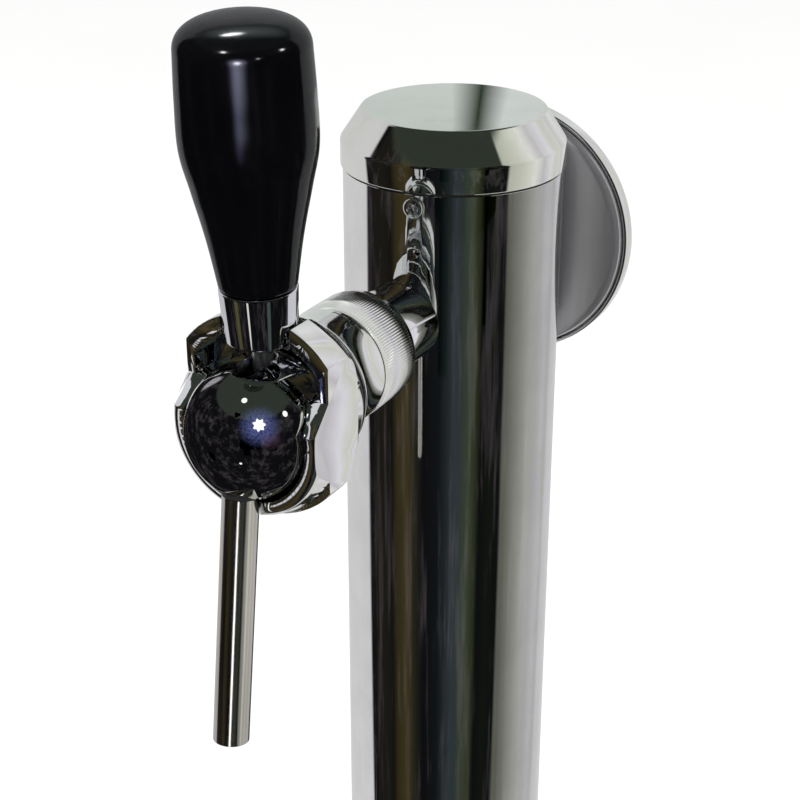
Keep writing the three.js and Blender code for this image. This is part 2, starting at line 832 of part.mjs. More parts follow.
function handleGrip() {
  const bottom = ferruleTopHeight + clearance;
  const boreRadius = insertRadius + clearance;
  const boreTop = bottom + insertLength + clearance;
  const side = new THREE.SplineCurve([
    [gripNeckRadius, bottom],
    [gripFlareRadius, gripFlareHeight],
    [gripSwellRadius, gripSwellHeight],
    [gripBellyRadius, gripBellyLowHeight],
    [gripBellyRadius, gripBellyHighHeight],
    [gripCrownRadius, gripCrownHeight],
  ].map((point) => new THREE.Vector2(...point)));
  const crown = curvePoints(
    [gripCrownRadius, gripCrownHeight],
    [gripCrownRadius, gripTopHeight],
    [0, gripTopHeight],
  );
  const solid = turned([
    [0, boreTop], [boreRadius, boreTop], [boreRadius, bottom],
    ...side.getPoints(2 * curveSteps).slice(0, -1).map((point) => [point.x, point.y]), ...crown,
  ]);
  return piece('handle_grip', solid, blackPlastic);
}

// Valve

function valveStem() {
  const sealBack = seatFaceBack - clearance - valveSealThickness;
  const flangeFront = sealBack - faceGap;
  const flangeBack = flangeFront - stemFlangeThickness;
  const guideBack = seatFaceBack + stemGuideStart;
  const guideFront = guideBack + stemGuideLength;
  const tipReach = pivotReach - leverTipDrop * Math.sin(leverLean);
  const tipDrop = ballDrop + leverTipDrop * Math.cos(leverLean);
  const slotBack = tipReach - forkSlotHalfWidth;
  const slotFront = tipReach + forkSlotHalfWidth;
  const floorTop = -tipDrop - leverTipRadius - forkFloorBelowTip;
  const floorBottom = floorTop - forkFloorThickness;
  const prongTop = -ballDrop - leverBossRadius - forkBossClearance;
  const armFront = pivotReach - leverBossRadius - forkBossClearance;
  const armBack = armFront - forkArmThickness;
  const bar = (back, front, bottom, top) => (
    block([-forkHalfWidth, bottom, back], [forkHalfWidth, top, front])
  );
  const spindle = turned([
    [0, flangeBack], [stemFlangeRadius, flangeBack], [stemFlangeRadius, flangeFront],
    [stemNeckRadius, flangeFront], [stemNeckRadius, seatFaceBack], [stemBodyRadius, seatFaceBack],
    [stemBodyRadius, armFront], [0, armFront],
  ], smallSides);
  let guide = rod(stemGuideRadius, guideBack, guideFront);
  for (let i = 0; i < 3; i += 1) {
    const flat = blockGeometry(
      [-stemGuideRadius, stemGuideFlatShare * stemGuideRadius, guideBack - cutOverrun],
      [stemGuideRadius, 2 * stemGuideRadius, guideFront + cutOverrun],
    );
    guide = guide.subtract(solidOf(flat.rotateZ((i / 3) * 2 * Math.PI)));
  }
  const solid = [
    guide,
    bar(armBack, armFront, floorBottom, stemBodyRadius),
    bar(armBack, slotFront + forkProngThickness, floorBottom, floorTop),
    bar(armBack, slotBack, floorBottom, prongTop),
    bar(slotFront, slotFront + forkProngThickness, floorBottom, prongTop),
  ].reduce((whole, part) => whole.add(part), spindle);
  return piece('valve_stem', solid, stainless);
}

function valveSeal() {
  const front = seatFaceBack - clearance;
  const solid = ring(stemNeckRadius + clearance, valveSealRadius, front - valveSealThickness, front);
  return piece('valve_seal', solid, rubber);
}

// Spout: built down its own axis from the ball's middle

function spoutStart() {
  return Math.sqrt(cavityRadius ** 2 - spoutAhead ** 2) + spoutSeat;
}

function spoutTube() {
  const start = spoutStart();
  const end = start + spoutLength;
  const grooveBack = start + spoutGrooveStart;
  const grooveFront = grooveBack + spoutGrooveLength;
  const grooveRadius = spoutRadius - spoutGrooveDepth;
  const solid = turned([
    [spoutRadius - spoutWall, start], [spoutRadius, start], [spoutRadius, grooveBack],
    [grooveRadius, grooveBack], [grooveRadius, grooveFront], [spoutRadius, grooveFront],
    [spoutRadius, end], [spoutRadius - spoutWall, end],
  ]);
  const tube = piece('spout_tube', solid, satinSteel);
  tube.position.y = spoutAhead;
  return tube;
}

function spoutRing() {
  const back = spoutStart() + spoutGrooveStart + faceGap;
  const front = back + spoutGrooveLength - 2 * faceGap;
  const inner = spoutRadius - spoutGrooveDepth + faceGap;
  const solid = ring(inner, spoutRadius + faceGap, back, front);
  const seal = piece('spout_ring', solid, rubber);
  seal.position.y = spoutAhead;
  return seal;
}

// Tail fitting and beer line

function tailWasherBack() {
  return shankRearReach - clearance - tailWasherThickness;
}

function elbowFlangeBack() {
  return tailWasherBack() - clearance - elbowFlangeThickness;
}

function tailNutBack() {
  return elbowFlangeBack() - clearance - tailNutLip;
}

function tailNut() {
  const back = tailNutBack();
  const front = shankRearReach + tailNutGrip;
  const lipFront = back + tailNutLip;
  const wide = rod(shankRadius + clearance, lipFront, front + cutOverrun);
  const solid = hexNut(tailNutAcrossFlats, elbowRadius + clearance, back, front).subtract(wide);
  return piece('tail_nut', solid, brass);
}

function tailWasher() {
  const back = tailWasherBack();
  const solid = ring(shankBoreRadius, tailWasherRadius, back, back + tailWasherThickness);
  return piece('tail_washer', solid, rubber);
}

function tailElbow() {
  const flangeBack = elbowFlangeBack();
  const bendStart = new THREE.Vector3(0, 0, elbowBend - lineOffset);
  const corner = new THREE.Vector3(0, 0, -lineOffset);
  const bendEnd = new THREE.Vector3(0, -elbowBend, -lineOffset);
  const path = new THREE.CurvePath();
  path.add(new THREE.LineCurve3(new THREE.Vector3(0, 0, flangeBack + elbowFlangeThickness), bendStart));
  path.add(new THREE.QuadraticBezierCurve3(bendStart, corner, bendEnd));
  path.add(new THREE.LineCurve3(bendEnd, new THREE.Vector3(0, -elbowDropToLine, -lineOffset)));
  const tube = (radius) => solidOf(new THREE.ExtrudeGeometry(
    new THREE.Shape(polygonPoints(radius, screwSides)),
    { steps: 3 * curveSteps, bevelEnabled: false, extrudePath: path },
  ));
  const barbs = [];
  for (let i = 0; i < barbCount; i += 1) {
    const top = -i * barbPitch;
    barbs.push([tailRadius, top], [barbRadius, top - barbPitch / 3], [tailRadius, top - barbPitch]);
  }
  const tailEnd = -(barbCount + 1) * barbPitch;
  const upToTube = elbowDropToLine / 3;
  const tail = solidOf(turnedGeometry([
    [0, upToTube], [tailRadius, upToTube], ...barbs, [tailRadius, tailEnd], [0, tailEnd],
  ], smallSides).rotateX(-Math.PI / 2).translate(0, -elbowDropToLine - barbPitch, -lineOffset));
  const tailBore = solidOf(rodGeometry(elbowBoreRadius, tailEnd - cutOverrun, upToTube, smallSides)
    .rotateX(-Math.PI / 2).translate(0, -elbowDropToLine - barbPitch, -lineOffset));
  const flange = rod(elbowFlangeRadius, flangeBack, flangeBack + elbowFlangeThickness);
  const flangeBore = rod(elbowBoreRadius, 0, shankRearReach, smallSides);
  const solid = tube(elbowRadius).add(flange).add(tail)
    .subtract(tube(elbowBoreRadius)).subtract(flangeBore).subtract(tailBore);
  return piece('tail_elbow', solid, stainless);
}

// Vertical pieces of the beer line stand at its place beside the column's axis.

function beerLine() {
  const top = tapHeight - lineTopBelowTap;
  const solid = ring(lineBoreRadius, lineRadius, flangeBottom, top, smallSides);
  const line = piece('beer_line', solid, hosePlastic);
  line.position.y = lineOffset;
  return line;
}

function hoseClamp() {
  const top = tapHeight - lineTopBelowTap - clampBelowLineTop;
  const bottom = top - clampHeight;
  const inner = lineRadius + clearance;
  const outer = inner + clampWall;
  const ear = block(
    [outer - clampWall / 2, -clampEarWidth / 2, bottom],
    [outer + clampEarLength, clampEarWidth / 2, top],
  );
  const clamp = piece('hose_clamp', ring(inner, outer, bottom, top, smallSides).add(ear), stainless);
  clamp.position.y = lineOffset;
  return clamp;
}

function lineGrommet() {
  const rimBottom = flangeTop + faceGap;
  const rimTop = rimBottom + grommetRimThickness;
  const solid = turned([
    [lineRadius + clearance, flangeBottom], [lineHoleRadius - clearance, flangeBottom],
    [lineHoleRadius - clearance, rimBottom], [grommetRimRadius, rimBottom],
    [grommetRimRadius, rimTop], [lineRadius + clearance, rimTop],
  ], smallSides);
  const grommet = piece('line_grommet', solid, rubber);
  grommet.position.y = lineOffset;
  return grommet;
}

// Medallion: built along +Z, which its group turns to face backward

function medallionSpacer() {
  const inner = medallionBoltRadius + clearance;
  const front = medallionBackReach - clearance;
  const solid = ring(inner, medallionSpacerRadius, columnInnerRadius - cutOverrun, front)
    .subtract(columnCylinder(columnRadius + clearance));
  return piece('medallion_spacer', solid, chrome);
}

function medallionWasher() {
  const inner = medallionBoltRadius + clearance;
  const solid = ring(inner, medallionWasherRadius, medallionWasherBackReach, columnRadius)
    .intersect(columnCylinder(columnInnerRadius - clearance));
  return piece('medallion_washer', solid, stainless);
}

function medallionNut() {
  const front = medallionWasherBackReach - clearance;
  const bore = medallionBoltRadius + clearance;
  const solid = hexNut(medallionNutAcrossFlats, bore, front - medallionNutLength, front);
  return piece('medallion_nut', solid, stainless);
}

function medallionBolt() {
  const headBack = medallionBackReach + dishWall + faceGap;
  const headFront = headBack + medallionBoltHeadThickness;
  const solid = turned([
    [0, medallionBoltRearReach], [medallionBoltRadius, medallionBoltRearReach],
    [medallionBoltRadius, headBack], [medallionBoltHeadRadius, headBack],
    [medallionBoltHeadRadius, headFront], [0, headFront],
  ], smallSides);
  return piece('medallion_bolt', solid, stainless);
}

function medallionDish() {
  const floor = medallionBackReach + dishWall;
  const rim = medallionBackReach + dishDepth;
  const edge = curvePoints(
    [dishRadius - dishEdge, medallionBackReach],
    [dishRadius, medallionBackReach],
    [dishRadius, medallionBackReach + dishEdge],
  );
  const holeRadius = medallionBoltRadius + clearance;
  const solid = turned([
    [holeRadius, medallionBackReach], ...edge, [dishRadius, rim], [dishRadius - dishWall, rim],
    [dishRadius - dishWall, floor + dishEdge - dishWall], [dishRadius - dishEdge, floor],
    [holeRadius, floor],
  ], columnSides);
  return piece('medallion_dish', solid, chrome);
}

function badgeBackingFront() {
  return medallionBackReach + dishWall + faceGap + backingThickness;
}

function badgeRadius() {
  return dishRadius - dishEdge - clearance;
}

function badgeBacking() {
  const front = badgeBackingFront();
  const inner = medallionBoltHeadRadius + clearance;
  const solid = ring(inner, badgeRadius(), front - backingThickness, front);
  return piece('badge_backing', solid, rubber);
}

function badgePlate() {
  const back = badgeBackingFront() + faceGap;
  return piece('badge_plate', rod(badgeRadius(), back, back + badgePlateThickness), badgePaint);
}

function lensFront() {
  return badgeBackingFront() + badgePlateThickness + 2 * faceGap + lensThickness;
}

function badgeLens() {
  const front = lensFront();
  return piece('badge_lens', rod(badgeRadius(), front - lensThickness, front), lensPlastic);
}

function medallionBezel() {
  const faceBack = Math.max(lensFront(), medallionBackReach + dishDepth) + clearance;
  const faceFront = faceBack + bezelFace;
  const skirtInner = dishRadius + clearance;
  const lipInner = badgeRadius() - bezelOverlap;
  const solid = turned([
    [skirtInner, faceFront - bezelSkirtLength], [medallionRadius, faceFront - bezelSkirtLength],
    [medallionRadius, faceFront - bezelFace / 2], [medallionRadius - bezelFace / 2, faceFront],
    [lipInner, faceFront], [lipInner, faceBack], [skirtInner, faceBack],
  ], columnSides);
  return piece('medallion_bezel', solid, chrome);
}

// Groups

function columnGroup() {
  const group = new THREE.Group();
  group.add(baseGasket(), baseFlange(), columnTube(), capSeal(), topCap());
  group.add(columnScrew('cap_screw', capScrewAngle, seam - capScrewBelowSeam));
  baseScrewAngles().forEach((angle, index) => {
    group.add(columnScrew(`base_screw_${index + 1}`, angle, baseScrewHeight));
  });
  group.add(beerLine(), hoseClamp(), lineGrommet());
  return group;
}

function ballGroup() {
  const group = new THREE.Group();
  group.position.set(0, -ballDrop, ballReach);
  const pin = pivotPin();
  pin.position.z = -pivotBehindBall;
  const spout = new THREE.Group();
  spout.rotation.x = Math.PI / 2 - spoutTilt;
  spout.add(spoutTube(), spoutRing());
  group.add(ballHousing(), pin, spout);
  return group;
}

function tapGroup() {
  const group = new THREE.Group();
  group.position.z = tapHeight;
  group.rotation.x = Math.PI / 2;
  group.add(tapShank(), shankSpacer(), saddleWasher(), shankNut(), couplingNut(), couplingSeal());
  group.add(tapBarrel(), barrelRing(), tapBody(), valveStem(), valveSeal(), ballGroup());
  group.add(tailNut(), tailWasher(), tailElbow());
  return group;
}

function leverGroup() {
  const group = new THREE.Group();
  group.position.set(0, -pivotReach, tapHeight - ballDrop);
  group.rotation.x = leverLean;
  group.add(leverRod(), leverSeal(), handleFerrule(), handleInsert(), handleGrip());
  return group;
}

function medallionGroup() {
  const group = new THREE.Group();
  group.position.z = medallionHeight;
  group.rotation.x = -Math.PI / 2;
  group.add(medallionSpacer(), medallionWasher(), medallionNut(), medallionBolt(), medallionDish());
  group.add(badgeBacking(), badgePlate(), badgeLens(), medallionBezel());
  return group;
}

const dispenser = new THREE.Group();
dispenser.add(columnGroup(), tapGroup(), leverGroup(), medallionGroup());

export default dispenser;
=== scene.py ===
"""Looks of the draft beer dispenser around its CAD frame. Lengths are millimetres unless noted."""

import json
import math

import bmesh
import bpy
from mathutils import Matrix, Vector


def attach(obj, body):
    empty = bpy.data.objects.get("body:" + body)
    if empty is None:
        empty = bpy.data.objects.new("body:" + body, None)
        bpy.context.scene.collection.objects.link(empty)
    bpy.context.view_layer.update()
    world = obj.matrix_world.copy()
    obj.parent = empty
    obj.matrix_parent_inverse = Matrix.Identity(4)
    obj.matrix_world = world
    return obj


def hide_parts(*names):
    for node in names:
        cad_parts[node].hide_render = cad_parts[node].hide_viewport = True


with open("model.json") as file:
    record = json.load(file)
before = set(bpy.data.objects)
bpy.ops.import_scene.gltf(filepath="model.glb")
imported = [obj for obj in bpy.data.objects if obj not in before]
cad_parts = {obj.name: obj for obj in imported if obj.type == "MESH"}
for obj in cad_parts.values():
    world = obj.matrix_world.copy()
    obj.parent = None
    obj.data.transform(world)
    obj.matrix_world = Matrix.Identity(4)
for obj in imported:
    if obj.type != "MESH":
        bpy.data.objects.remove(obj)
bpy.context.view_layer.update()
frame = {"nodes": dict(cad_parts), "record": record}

MM = 0.001

# Fits, and how far a cutter runs past what it cuts
CLEARANCE = 0.3
FACE_GAP = 0.1
OVERRUN = 3.0

# Column, base and cap
COLUMN_R = 38.0
COLUMN_INNER_R = 36.5
TOTAL_H = 400.0
SEAM = 380.5
FLANGE_R = 57.0
FLANGE_BOTTOM = 2.1
FLANGE_TOP = 10.1
FLANGE_CHAMFER = 2.0
SPIGOT_R = COLUMN_INNER_R - CLEARANCE
SPIGOT_H = 20.0
SPIGOT_WALL = 5.0
GASKET_TOP = 2.0
COUNTER_CIRCLE_R = 47.5
COUNTER_HOLE_R = 2.75
SINK_R = 5.0
SINK_DEPTH = 2.5
LINE_BEHIND = 16.0
LINE_HOLE_R = 9.0
CAP_BAND_R = 38.8
CAP_BAND_H = 8.8
CAP_TOP_R = 31.7
CAP_WALL = 2.5
SKIRT_WALL = 3.0
SKIRT_DEPTH = 12.0
CAP_SEAL_BOTTOM = SEAM - 0.7
TUBE_TOP = CAP_SEAL_BOTTOM - FACE_GAP
WALL_CUT = (30.0, 42.0)
STUB_START = 33.5

# Screws
BASE_SCREW_H = FLANGE_TOP + 10.0
BASE_SCREW_ANGLES = [math.pi / 3, math.pi, 5 * math.pi / 3]
CAP_SCREW_H = SEAM - 5.0
CAP_SCREW_ANGLE = math.radians(8.3)
SCREW_HOLE_R = 2.3
SCREW_R = 2.0
SCREW_LENGTH = 5.5
SCREW_HEAD_R = 3.5
SCREW_HEAD_H = 2.2
CROSS_TURN = 0.35
CROSS_DEPTH = 1.1

# Tap: distances forward from the column's axis
TAP_H = 334.1
SHANK_HOLE_R = 11.3
NECK_R = 14.0
NECK_END = 60.2
NUT_BACK = 60.5
NUT_FRONT = 80.3
NUT_R = 19.5
NUT_WEB = 5.5
NUT_BORE_R = 15.8
KNURL_RIDGES = 132
RIDGE_H = 0.45
BARREL_BACK = 72.3
BARREL_TAIL_R = 15.2
BARREL_SHOULDER = 80.6
BARREL_R = 19.2
BARREL_FRONT = 112.7
BELL_FRONT = 101.0
BELL_R = 24.2
LIP_R = 20.0
LIP_BACK = 105.5
INLET_R = 5.0
CHAMBER_R = 11.0
CHAMBER_BACK = 77.0
SEAT_R = 6.5
SEAT_BACK = 89.5
SEAT_FRONT = 92.5
STEM_BORE_R = 8.6
BODY_BACK = 103.0
BODY_BACK_R = 24.6
DRUM_EDGE = (26.0, 107.0)
DRUM_R = 32.2
DRUM_WIDEST = 115.0
DRUM_FRONT = 123.8
FLAT_HALF = 25.0
COLLAR_BACK = 116.0
COLLAR_R = 28.0
COLLAR_END = 132.0
MOUTH_R = 27.0
MOUTH_HALF = 22.2
MOUTH_BACK = 113.5
MOUTH_LOW = 9.3
BALL_R = 21.3
BALL_BACK = 113.6
CAVITY_R = 17.3
BALL_REACH = 125.5
BALL_DROP = 3.5
PIVOT_BEHIND = 6.7
PIN_HOLE_R = 2.3
LEAN = math.radians(2.8)
TRAVEL = math.radians(25.0)
LEVER_R = 3.2
LEVER_TOP = 62.0
LEVER_BOSS_R = 4.6
LEVER_TIP_R = 2.4
LEVER_TIP_H = -7.5
LEVER_WAIST_R = 1.7
BOOT_IN_R = 11.3
BOOT_OUT_R = 12.8
BOOT_EDGE = math.radians(30)
FERRULE_LOW = 27.7
FERRULE_HIGH = 44.2
FERRULE_LOW_R = 11.0
FERRULE_HIGH_R = 11.8
GRIP_LOW = FERRULE_HIGH + CLEARANCE
GRIP_BORE_TOP = GRIP_LOW + 24.0 + CLEARANCE
GRIP_BORE_R = 6.8
GRIP_NECK_R = 11.6
GRIP_TOP = 124.0
GRIP_CROWN_H = 114.3
GRIP_CROWN_R = 19.3
SPOUT_TILT = math.radians(7.6)
SPOUT_AHEAD = 6.15
SPOUT_R = 5.75
SPOUT_WALL = 1.5
SPOUT_LENGTH = 84.7
SPOUT_GROOVE = (1.1, 2.7)
SPOUT_GROOVE_DEPTH = 0.75

# Medallion
MEDALLION_H = 343.6
MEDALLION_R = 47.7
DISH_BACK = 42.5
DISH_R = 46.0
DISH_EDGE = 3.5
DISH_DEPTH = 6.4
DISH_WALL = 1.5
DISH_FLOOR = DISH_BACK + DISH_WALL
STEM_R = 14.0
BOLT_HOLE_R = 4.3
BADGE_R = DISH_R - DISH_EDGE - CLEARANCE
BACKING_THICK = 1.7
PLATE_BACK = DISH_FLOOR + FACE_GAP + BACKING_THICK + FACE_GAP
PLATE_THICK = 0.8
LENS_BACK = PLATE_BACK + PLATE_THICK + FACE_GAP
LENS_THICK = 2.0
BEZEL_DEPTH = 5.6
BEZEL_LAP = 3.0
BEZEL_BACK = max(LENS_BACK + LENS_THICK, DISH_BACK + DISH_DEPTH) + CLEARANCE
BEZEL_FRONT = BEZEL_BACK + 1.1

# Places: each matrix turns a piece built along +Z to where it belongs
IN_COLUMN = Matrix.Identity(4)
IN_TAP = Matrix.Translation((0, 0, TAP_H)) @ Matrix.Rotation(math.pi / 2, 4, "X")
IN_BALL = IN_TAP @ Matrix.Translation((0, -BALL_DROP, BALL_REACH))
IN_SPOUT = (
    IN_BALL
    @ Matrix.Rotation(math.pi / 2 - SPOUT_TILT, 4, "X")
    @ Matrix.Translation((0, SPOUT_AHEAD, 0))
)
IN_LEVER = Matrix.Translation((0, -(BALL_REACH - PIVOT_BEHIND), TAP_H - BALL_DROP)) @ Matrix.Rotation(
    LEAN, 4, "X"
)
IN_MEDALLION = Matrix.Translation((0, 0, MEDALLION_H)) @ Matrix.Rotation(-math.pi / 2, 4, "X")

# ---- Mesh helpers ----


def bezier(start, control, end, steps):
    """Points of a curve with one control point."""
    points = []
    for i in range(steps + 1):
        t = i / steps
        points.append(
            tuple(
                (1 - t) ** 2 * a + 2 * t * (1 - t) * c + t * t * b
                for a, c, b in zip(start, control, end)
            )
        )
    return points


def catmull(points, steps):
    """A smooth curve through all of the points."""
    result = []
    last = len(points) - 1
    for i in range(last):
        p0, p1, p2, p3 = (points[max(i - 1, 0)], points[i], points[i + 1], points[min(i + 2, last)])
        for k in range(steps):
            t = k / steps
            result.append(
                tuple(
                    (2 * b - 2 * c + (c - a) * 0.5 + (d - b) * 0.5) * t**3
                    + (-3 * b + 3 * c - (c - a) - (d - b) * 0.5) * t**2
                    + (c - a) * 0.5 * t
                    + b
                    for a, b, c, d in zip(p0, p1, p2, p3)
                )
            )
    result.append(points[-1])
    return result


def arc(radius, start, end, steps):
    """Points of an arc in the outline's plane; the angles are from the axis, +Z being zero."""
    points = []
    for i in range(steps + 1):
        angle = start + (end - start) * i / steps
        points.append((radius * math.sin(angle), radius * math.cos(angle)))
    return points


def eased(outline, radius, closed=True, steps=3, least=math.radians(25)):
    """Rounds the corners of a (radius, height) outline that turn by more than the least angle."""
    count = len(outline)
    result = []
    for i, point in enumerate(outline):
        here = Vector(point)
        before = Vector(outline[i - 1]) - here
        after = Vector(outline[(i + 1) % count]) - here
        ends = not closed and i in (0, count - 1)
        doubled = before.length < 1e-6 or after.length < 1e-6
        if ends or doubled or math.pi - before.angle(after) < least:
            result.append(point)
            continue
        reach = min(radius, 0.45 * before.length, 0.45 * after.length)
        a = here + before.normalized() * reach
        b = here + after.normalized() * reach
        result.extend(bezier(tuple(a), tuple(here), tuple(b), steps))
    return result


def mesh_object(name, bm):
    """Closes the mesh that is being built and puts it in the scene."""
    mesh = bpy.data.meshes.new(name)
    bm.to_mesh(mesh)
    bm.free()
    obj = bpy.data.objects.new(name, mesh)
    bpy.context.scene.collection.objects.link(obj)
    return obj


def placed(name, bm, place):
    """Turns the faces outwards, takes the mesh to its place and puts it in the scene."""
    bmesh.ops.recalc_face_normals(bm, faces=bm.faces)
    bmesh.ops.transform(bm, matrix=Matrix.Scale(MM, 4) @ place, verts=bm.verts)
    return mesh_object(name, bm)


def ring(bm, radius, height, sides):
    """One turn of points of a lathe, or the single point on its axis."""
    if radius < 1e-6:
        return [bm.verts.new((0, 0, height))]
    points = []
    for i in range(sides):
        angle = 2 * math.pi * i / sides
        points.append(bm.verts.new((radius * math.cos(angle), radius * math.sin(angle), height)))
    return points


def lathe(name, outline, place, sides=128):
    """A turned solid. An outline that doesn't end on the axis closes on itself."""
    bm = bmesh.new()
    rings = [ring(bm, radius, height, sides) for radius, height in outline]
    on_axis = len(rings[0]) == 1 and len(rings[-1]) == 1
    pairs = list(zip(rings, rings[1:]))
    if not on_axis:
        pairs.append((rings[-1], rings[0]))
    for low, high in pairs:
        for i in range(sides):
            j = (i + 1) % sides
            if len(low) == 1 and len(high) == 1:
                continue
            if len(low) == 1:
                bm.faces.new((low[0], high[i], high[j]))
            elif len(high) == 1:
                bm.faces.new((low[i], low[j], high[0]))
            else:
                bm.faces.new((low[i], low[j], high[j], high[i]))
    return placed(name, bm, place)


def rod(name, radius, low, high, place, sides):
    return lathe(name, [(0, low), (radius, low), (radius, high), (0, high)], place, sides)


def block(name, low, high, place):
    bm = bmesh.new()
    bmesh.ops.create_cube(bm, size=1.0)
    size = [b - a for a, b in zip(low, high)]
    middle = [(a + b) / 2 for a, b in zip(low, high)]
    local = Matrix.Translation(middle) @ Matrix.Diagonal((*size, 1.0))
    bmesh.ops.transform(bm, matrix=Matrix.Scale(MM, 4) @ place @ local, verts=bm.verts)
    return mesh_object(name, bm)


def hull(name, points, place):
    """The smallest convex solid around the points."""
    bm = bmesh.new()
    for point in points:
        bm.verts.new(point)
    made = bmesh.ops.convex_hull(bm, input=bm.verts)
    inner = [v for v in made["geom_interior"] if isinstance(v, bmesh.types.BMVert)]
    bmesh.ops.delete(bm, geom=inner, context="VERTS")
    return placed(name, bm, place)


def bake_modifiers(obj):
    graph = bpy.context.evaluated_depsgraph_get()
    graph.update()
    mesh = bpy.data.meshes.new_from_object(obj.evaluated_get(graph))
    obj.modifiers.clear()
    obj.data = mesh
    return obj


WELD = 0.002


def combine(obj, others, operation="DIFFERENCE"):
    """Cuts the other solids out of this one, or joins them to it, and cleans the seams after each."""
    for other in others:
        modifier = obj.modifiers.new("cut", "BOOLEAN")
        modifier.operation = operation
        modifier.solver = "EXACT"
        modifier.object = other
        bake_modifiers(obj)
        bpy.data.objects.remove(other)
        bm = bmesh.new()
        bm.from_mesh(obj.data)
        bmesh.ops.remove_doubles(bm, verts=bm.verts, dist=WELD * MM)
        bmesh.ops.dissolve_degenerate(bm, edges=bm.edges, dist=WELD * MM)
        bm.to_mesh(obj.data)
        bm.free()
    return obj


def bevelled(obj, width, segments, angle, flat=False):
    """Rounds the edges sharper than the angle; flat keeps the shading of the faces between them flat."""
    modifier = obj.modifiers.new("edge", "BEVEL")
    modifier.width = width * MM
    modifier.segments = segments
    modifier.limit_method = "ANGLE"
    modifier.angle_limit = math.radians(angle)
    modifier.use_clamp_overlap = True
    modifier.harden_normals = flat
    return bake_modifiers(obj)


def dress(obj, material, body, slot, *nodes, sharp=32):
    """Smooth shading, material and body for a finished piece that stands for these CAD nodes; the slot
    is not used.
    """
    for polygon in obj.data.polygons:
        polygon.use_smooth = True
    obj.data.set_sharp_from_angle(angle=math.radians(sharp))
    obj.data.materials.clear()
    obj.data.materials.append(material)
    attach(obj, body)
    if nodes:
        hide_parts(*nodes)
    return obj


# ---- Material helpers ----


class Nodes:
    """Short calls for building a node tree."""

    def __init__(self, tree):
        self.tree = tree
        self.tree.nodes.clear()

    def add(self, kind, **values):
        node = self.tree.nodes.new(kind)
        inputs = values.pop("inputs", {})
        for key, value in values.items():
            setattr(node, key, value)
        for key, value in inputs.items():
            if isinstance(value, bpy.types.NodeSocket):
                self.tree.links.new(value, node.inputs[key])
            else:
                node.inputs[key].default_value = value
        return node

    def math(self, operation, a, b=0.0):
        return self.add("ShaderNodeMath", operation=operation, inputs={0: a, 1: b}).outputs[0]

    def remap(self, value, low, high, to_low=0.0, to_high=1.0, smooth=False):
        node = self.add(
            "ShaderNodeMapRange",
            clamp=True,
            interpolation_type="SMOOTHSTEP" if smooth else "LINEAR",
            inputs={
                "Value": value,
                "From Min": low,
                "From Max": high,
                "To Min": to_low,
                "To Max": to_high,
            },
        )
        return node.outputs["Result"]

    def mix(self, factor, a, b):
        """Mix of two colours; these are the colour sockets of the Mix node."""
        return self.add("ShaderNodeMix", data_type="RGBA", inputs={0: factor, 6: a, 7: b}).outputs[2]

    def ramp(self, value, stops):
        node = self.add("ShaderNodeValToRGB", inputs={"Fac": value})
        ramp = node.color_ramp
        while len(ramp.elements) > 1:
            ramp.elements.remove(ramp.elements[-1])
        ramp.elements[0].position = stops[0][0]
        ramp.elements[0].color = (*stops[0][1], 1.0)
        for position, color in stops[1:]:
            element = ramp.elements.new(position)
            element.color = (*color, 1.0)
        return node.outputs["Color"]

    def coordinates(self, scale=(1.0, 1.0, 1.0), turn=(0.0, 0.0, 0.0)):
        source = self.add("ShaderNodeTexCoord")
        mapping = self.add(
            "ShaderNodeMapping",
            inputs={"Vector": source.outputs["Object"], "Scale": scale, "Rotation": turn},
        )
        return mapping.outputs["Vector"]

    def noise(self, vector, scale, detail=4.0, roughness=0.55):
        node = self.add(
            "ShaderNodeTexNoise",
            inputs={"Vector": vector, "Scale": scale, "Detail": detail, "Roughness": roughness},
        )
        return node.outputs["Fac"]

    def bump(self, height, strength, distance):
        node = self.add(
            "ShaderNodeBump",
            inputs={"Height": height, "Strength": strength, "Distance": distance},
        )
        return node.outputs["Normal"]


def new_material(name):
    material = bpy.data.materials.new(name)
    material.use_nodes = True
    return material, Nodes(material.node_tree)


def close_material(n, shader_inputs):
    shader = n.add("ShaderNodeBsdfPrincipled", inputs=shader_inputs)
    output = n.add("ShaderNodeOutputMaterial")
    n.tree.links.new(shader.outputs[0], output.inputs["Surface"])


def chrome(name, streaks, smudge, turn=(0.0, 0.0, 0.0), tint=(0.83, 0.84, 0.85), wear=0.12):
    """Mirror plating: faint polishing streaks, wiped smudges and fine scratches."""
    material, n = new_material(name)
    smudges = n.noise(n.coordinates(), 38.0, 5.0, 0.6)
    lines = n.noise(n.coordinates(streaks, turn), 9.0, 3.0)
    scratch_field = n.noise(n.coordinates(tuple(2.2 * s for s in streaks), turn), 31.0, 2.0, 0.8)
    scratches = n.remap(scratch_field, 0.66, 0.7)
    wiped = n.remap(smudges, 0.45, 0.72, *smudge)
    rough = n.math("ADD", wiped, n.math("MULTIPLY", scratches, wear))
    dull = tuple(0.9 * value for value in tint)
    color = n.mix(n.remap(smudges, 0.4, 0.75), (*tint, 1.0), (*dull, 1.0))
    height = n.math("ADD", n.math("MULTIPLY", lines, 0.6), n.math("MULTIPLY", smudges, 0.4))
    close_material(
        n,
        {
            "Base Color": color,
            "Metallic": 1.0,
            "Roughness": rough,
            "Normal": n.bump(height, 0.06, 0.0002),
        },
    )
    return material


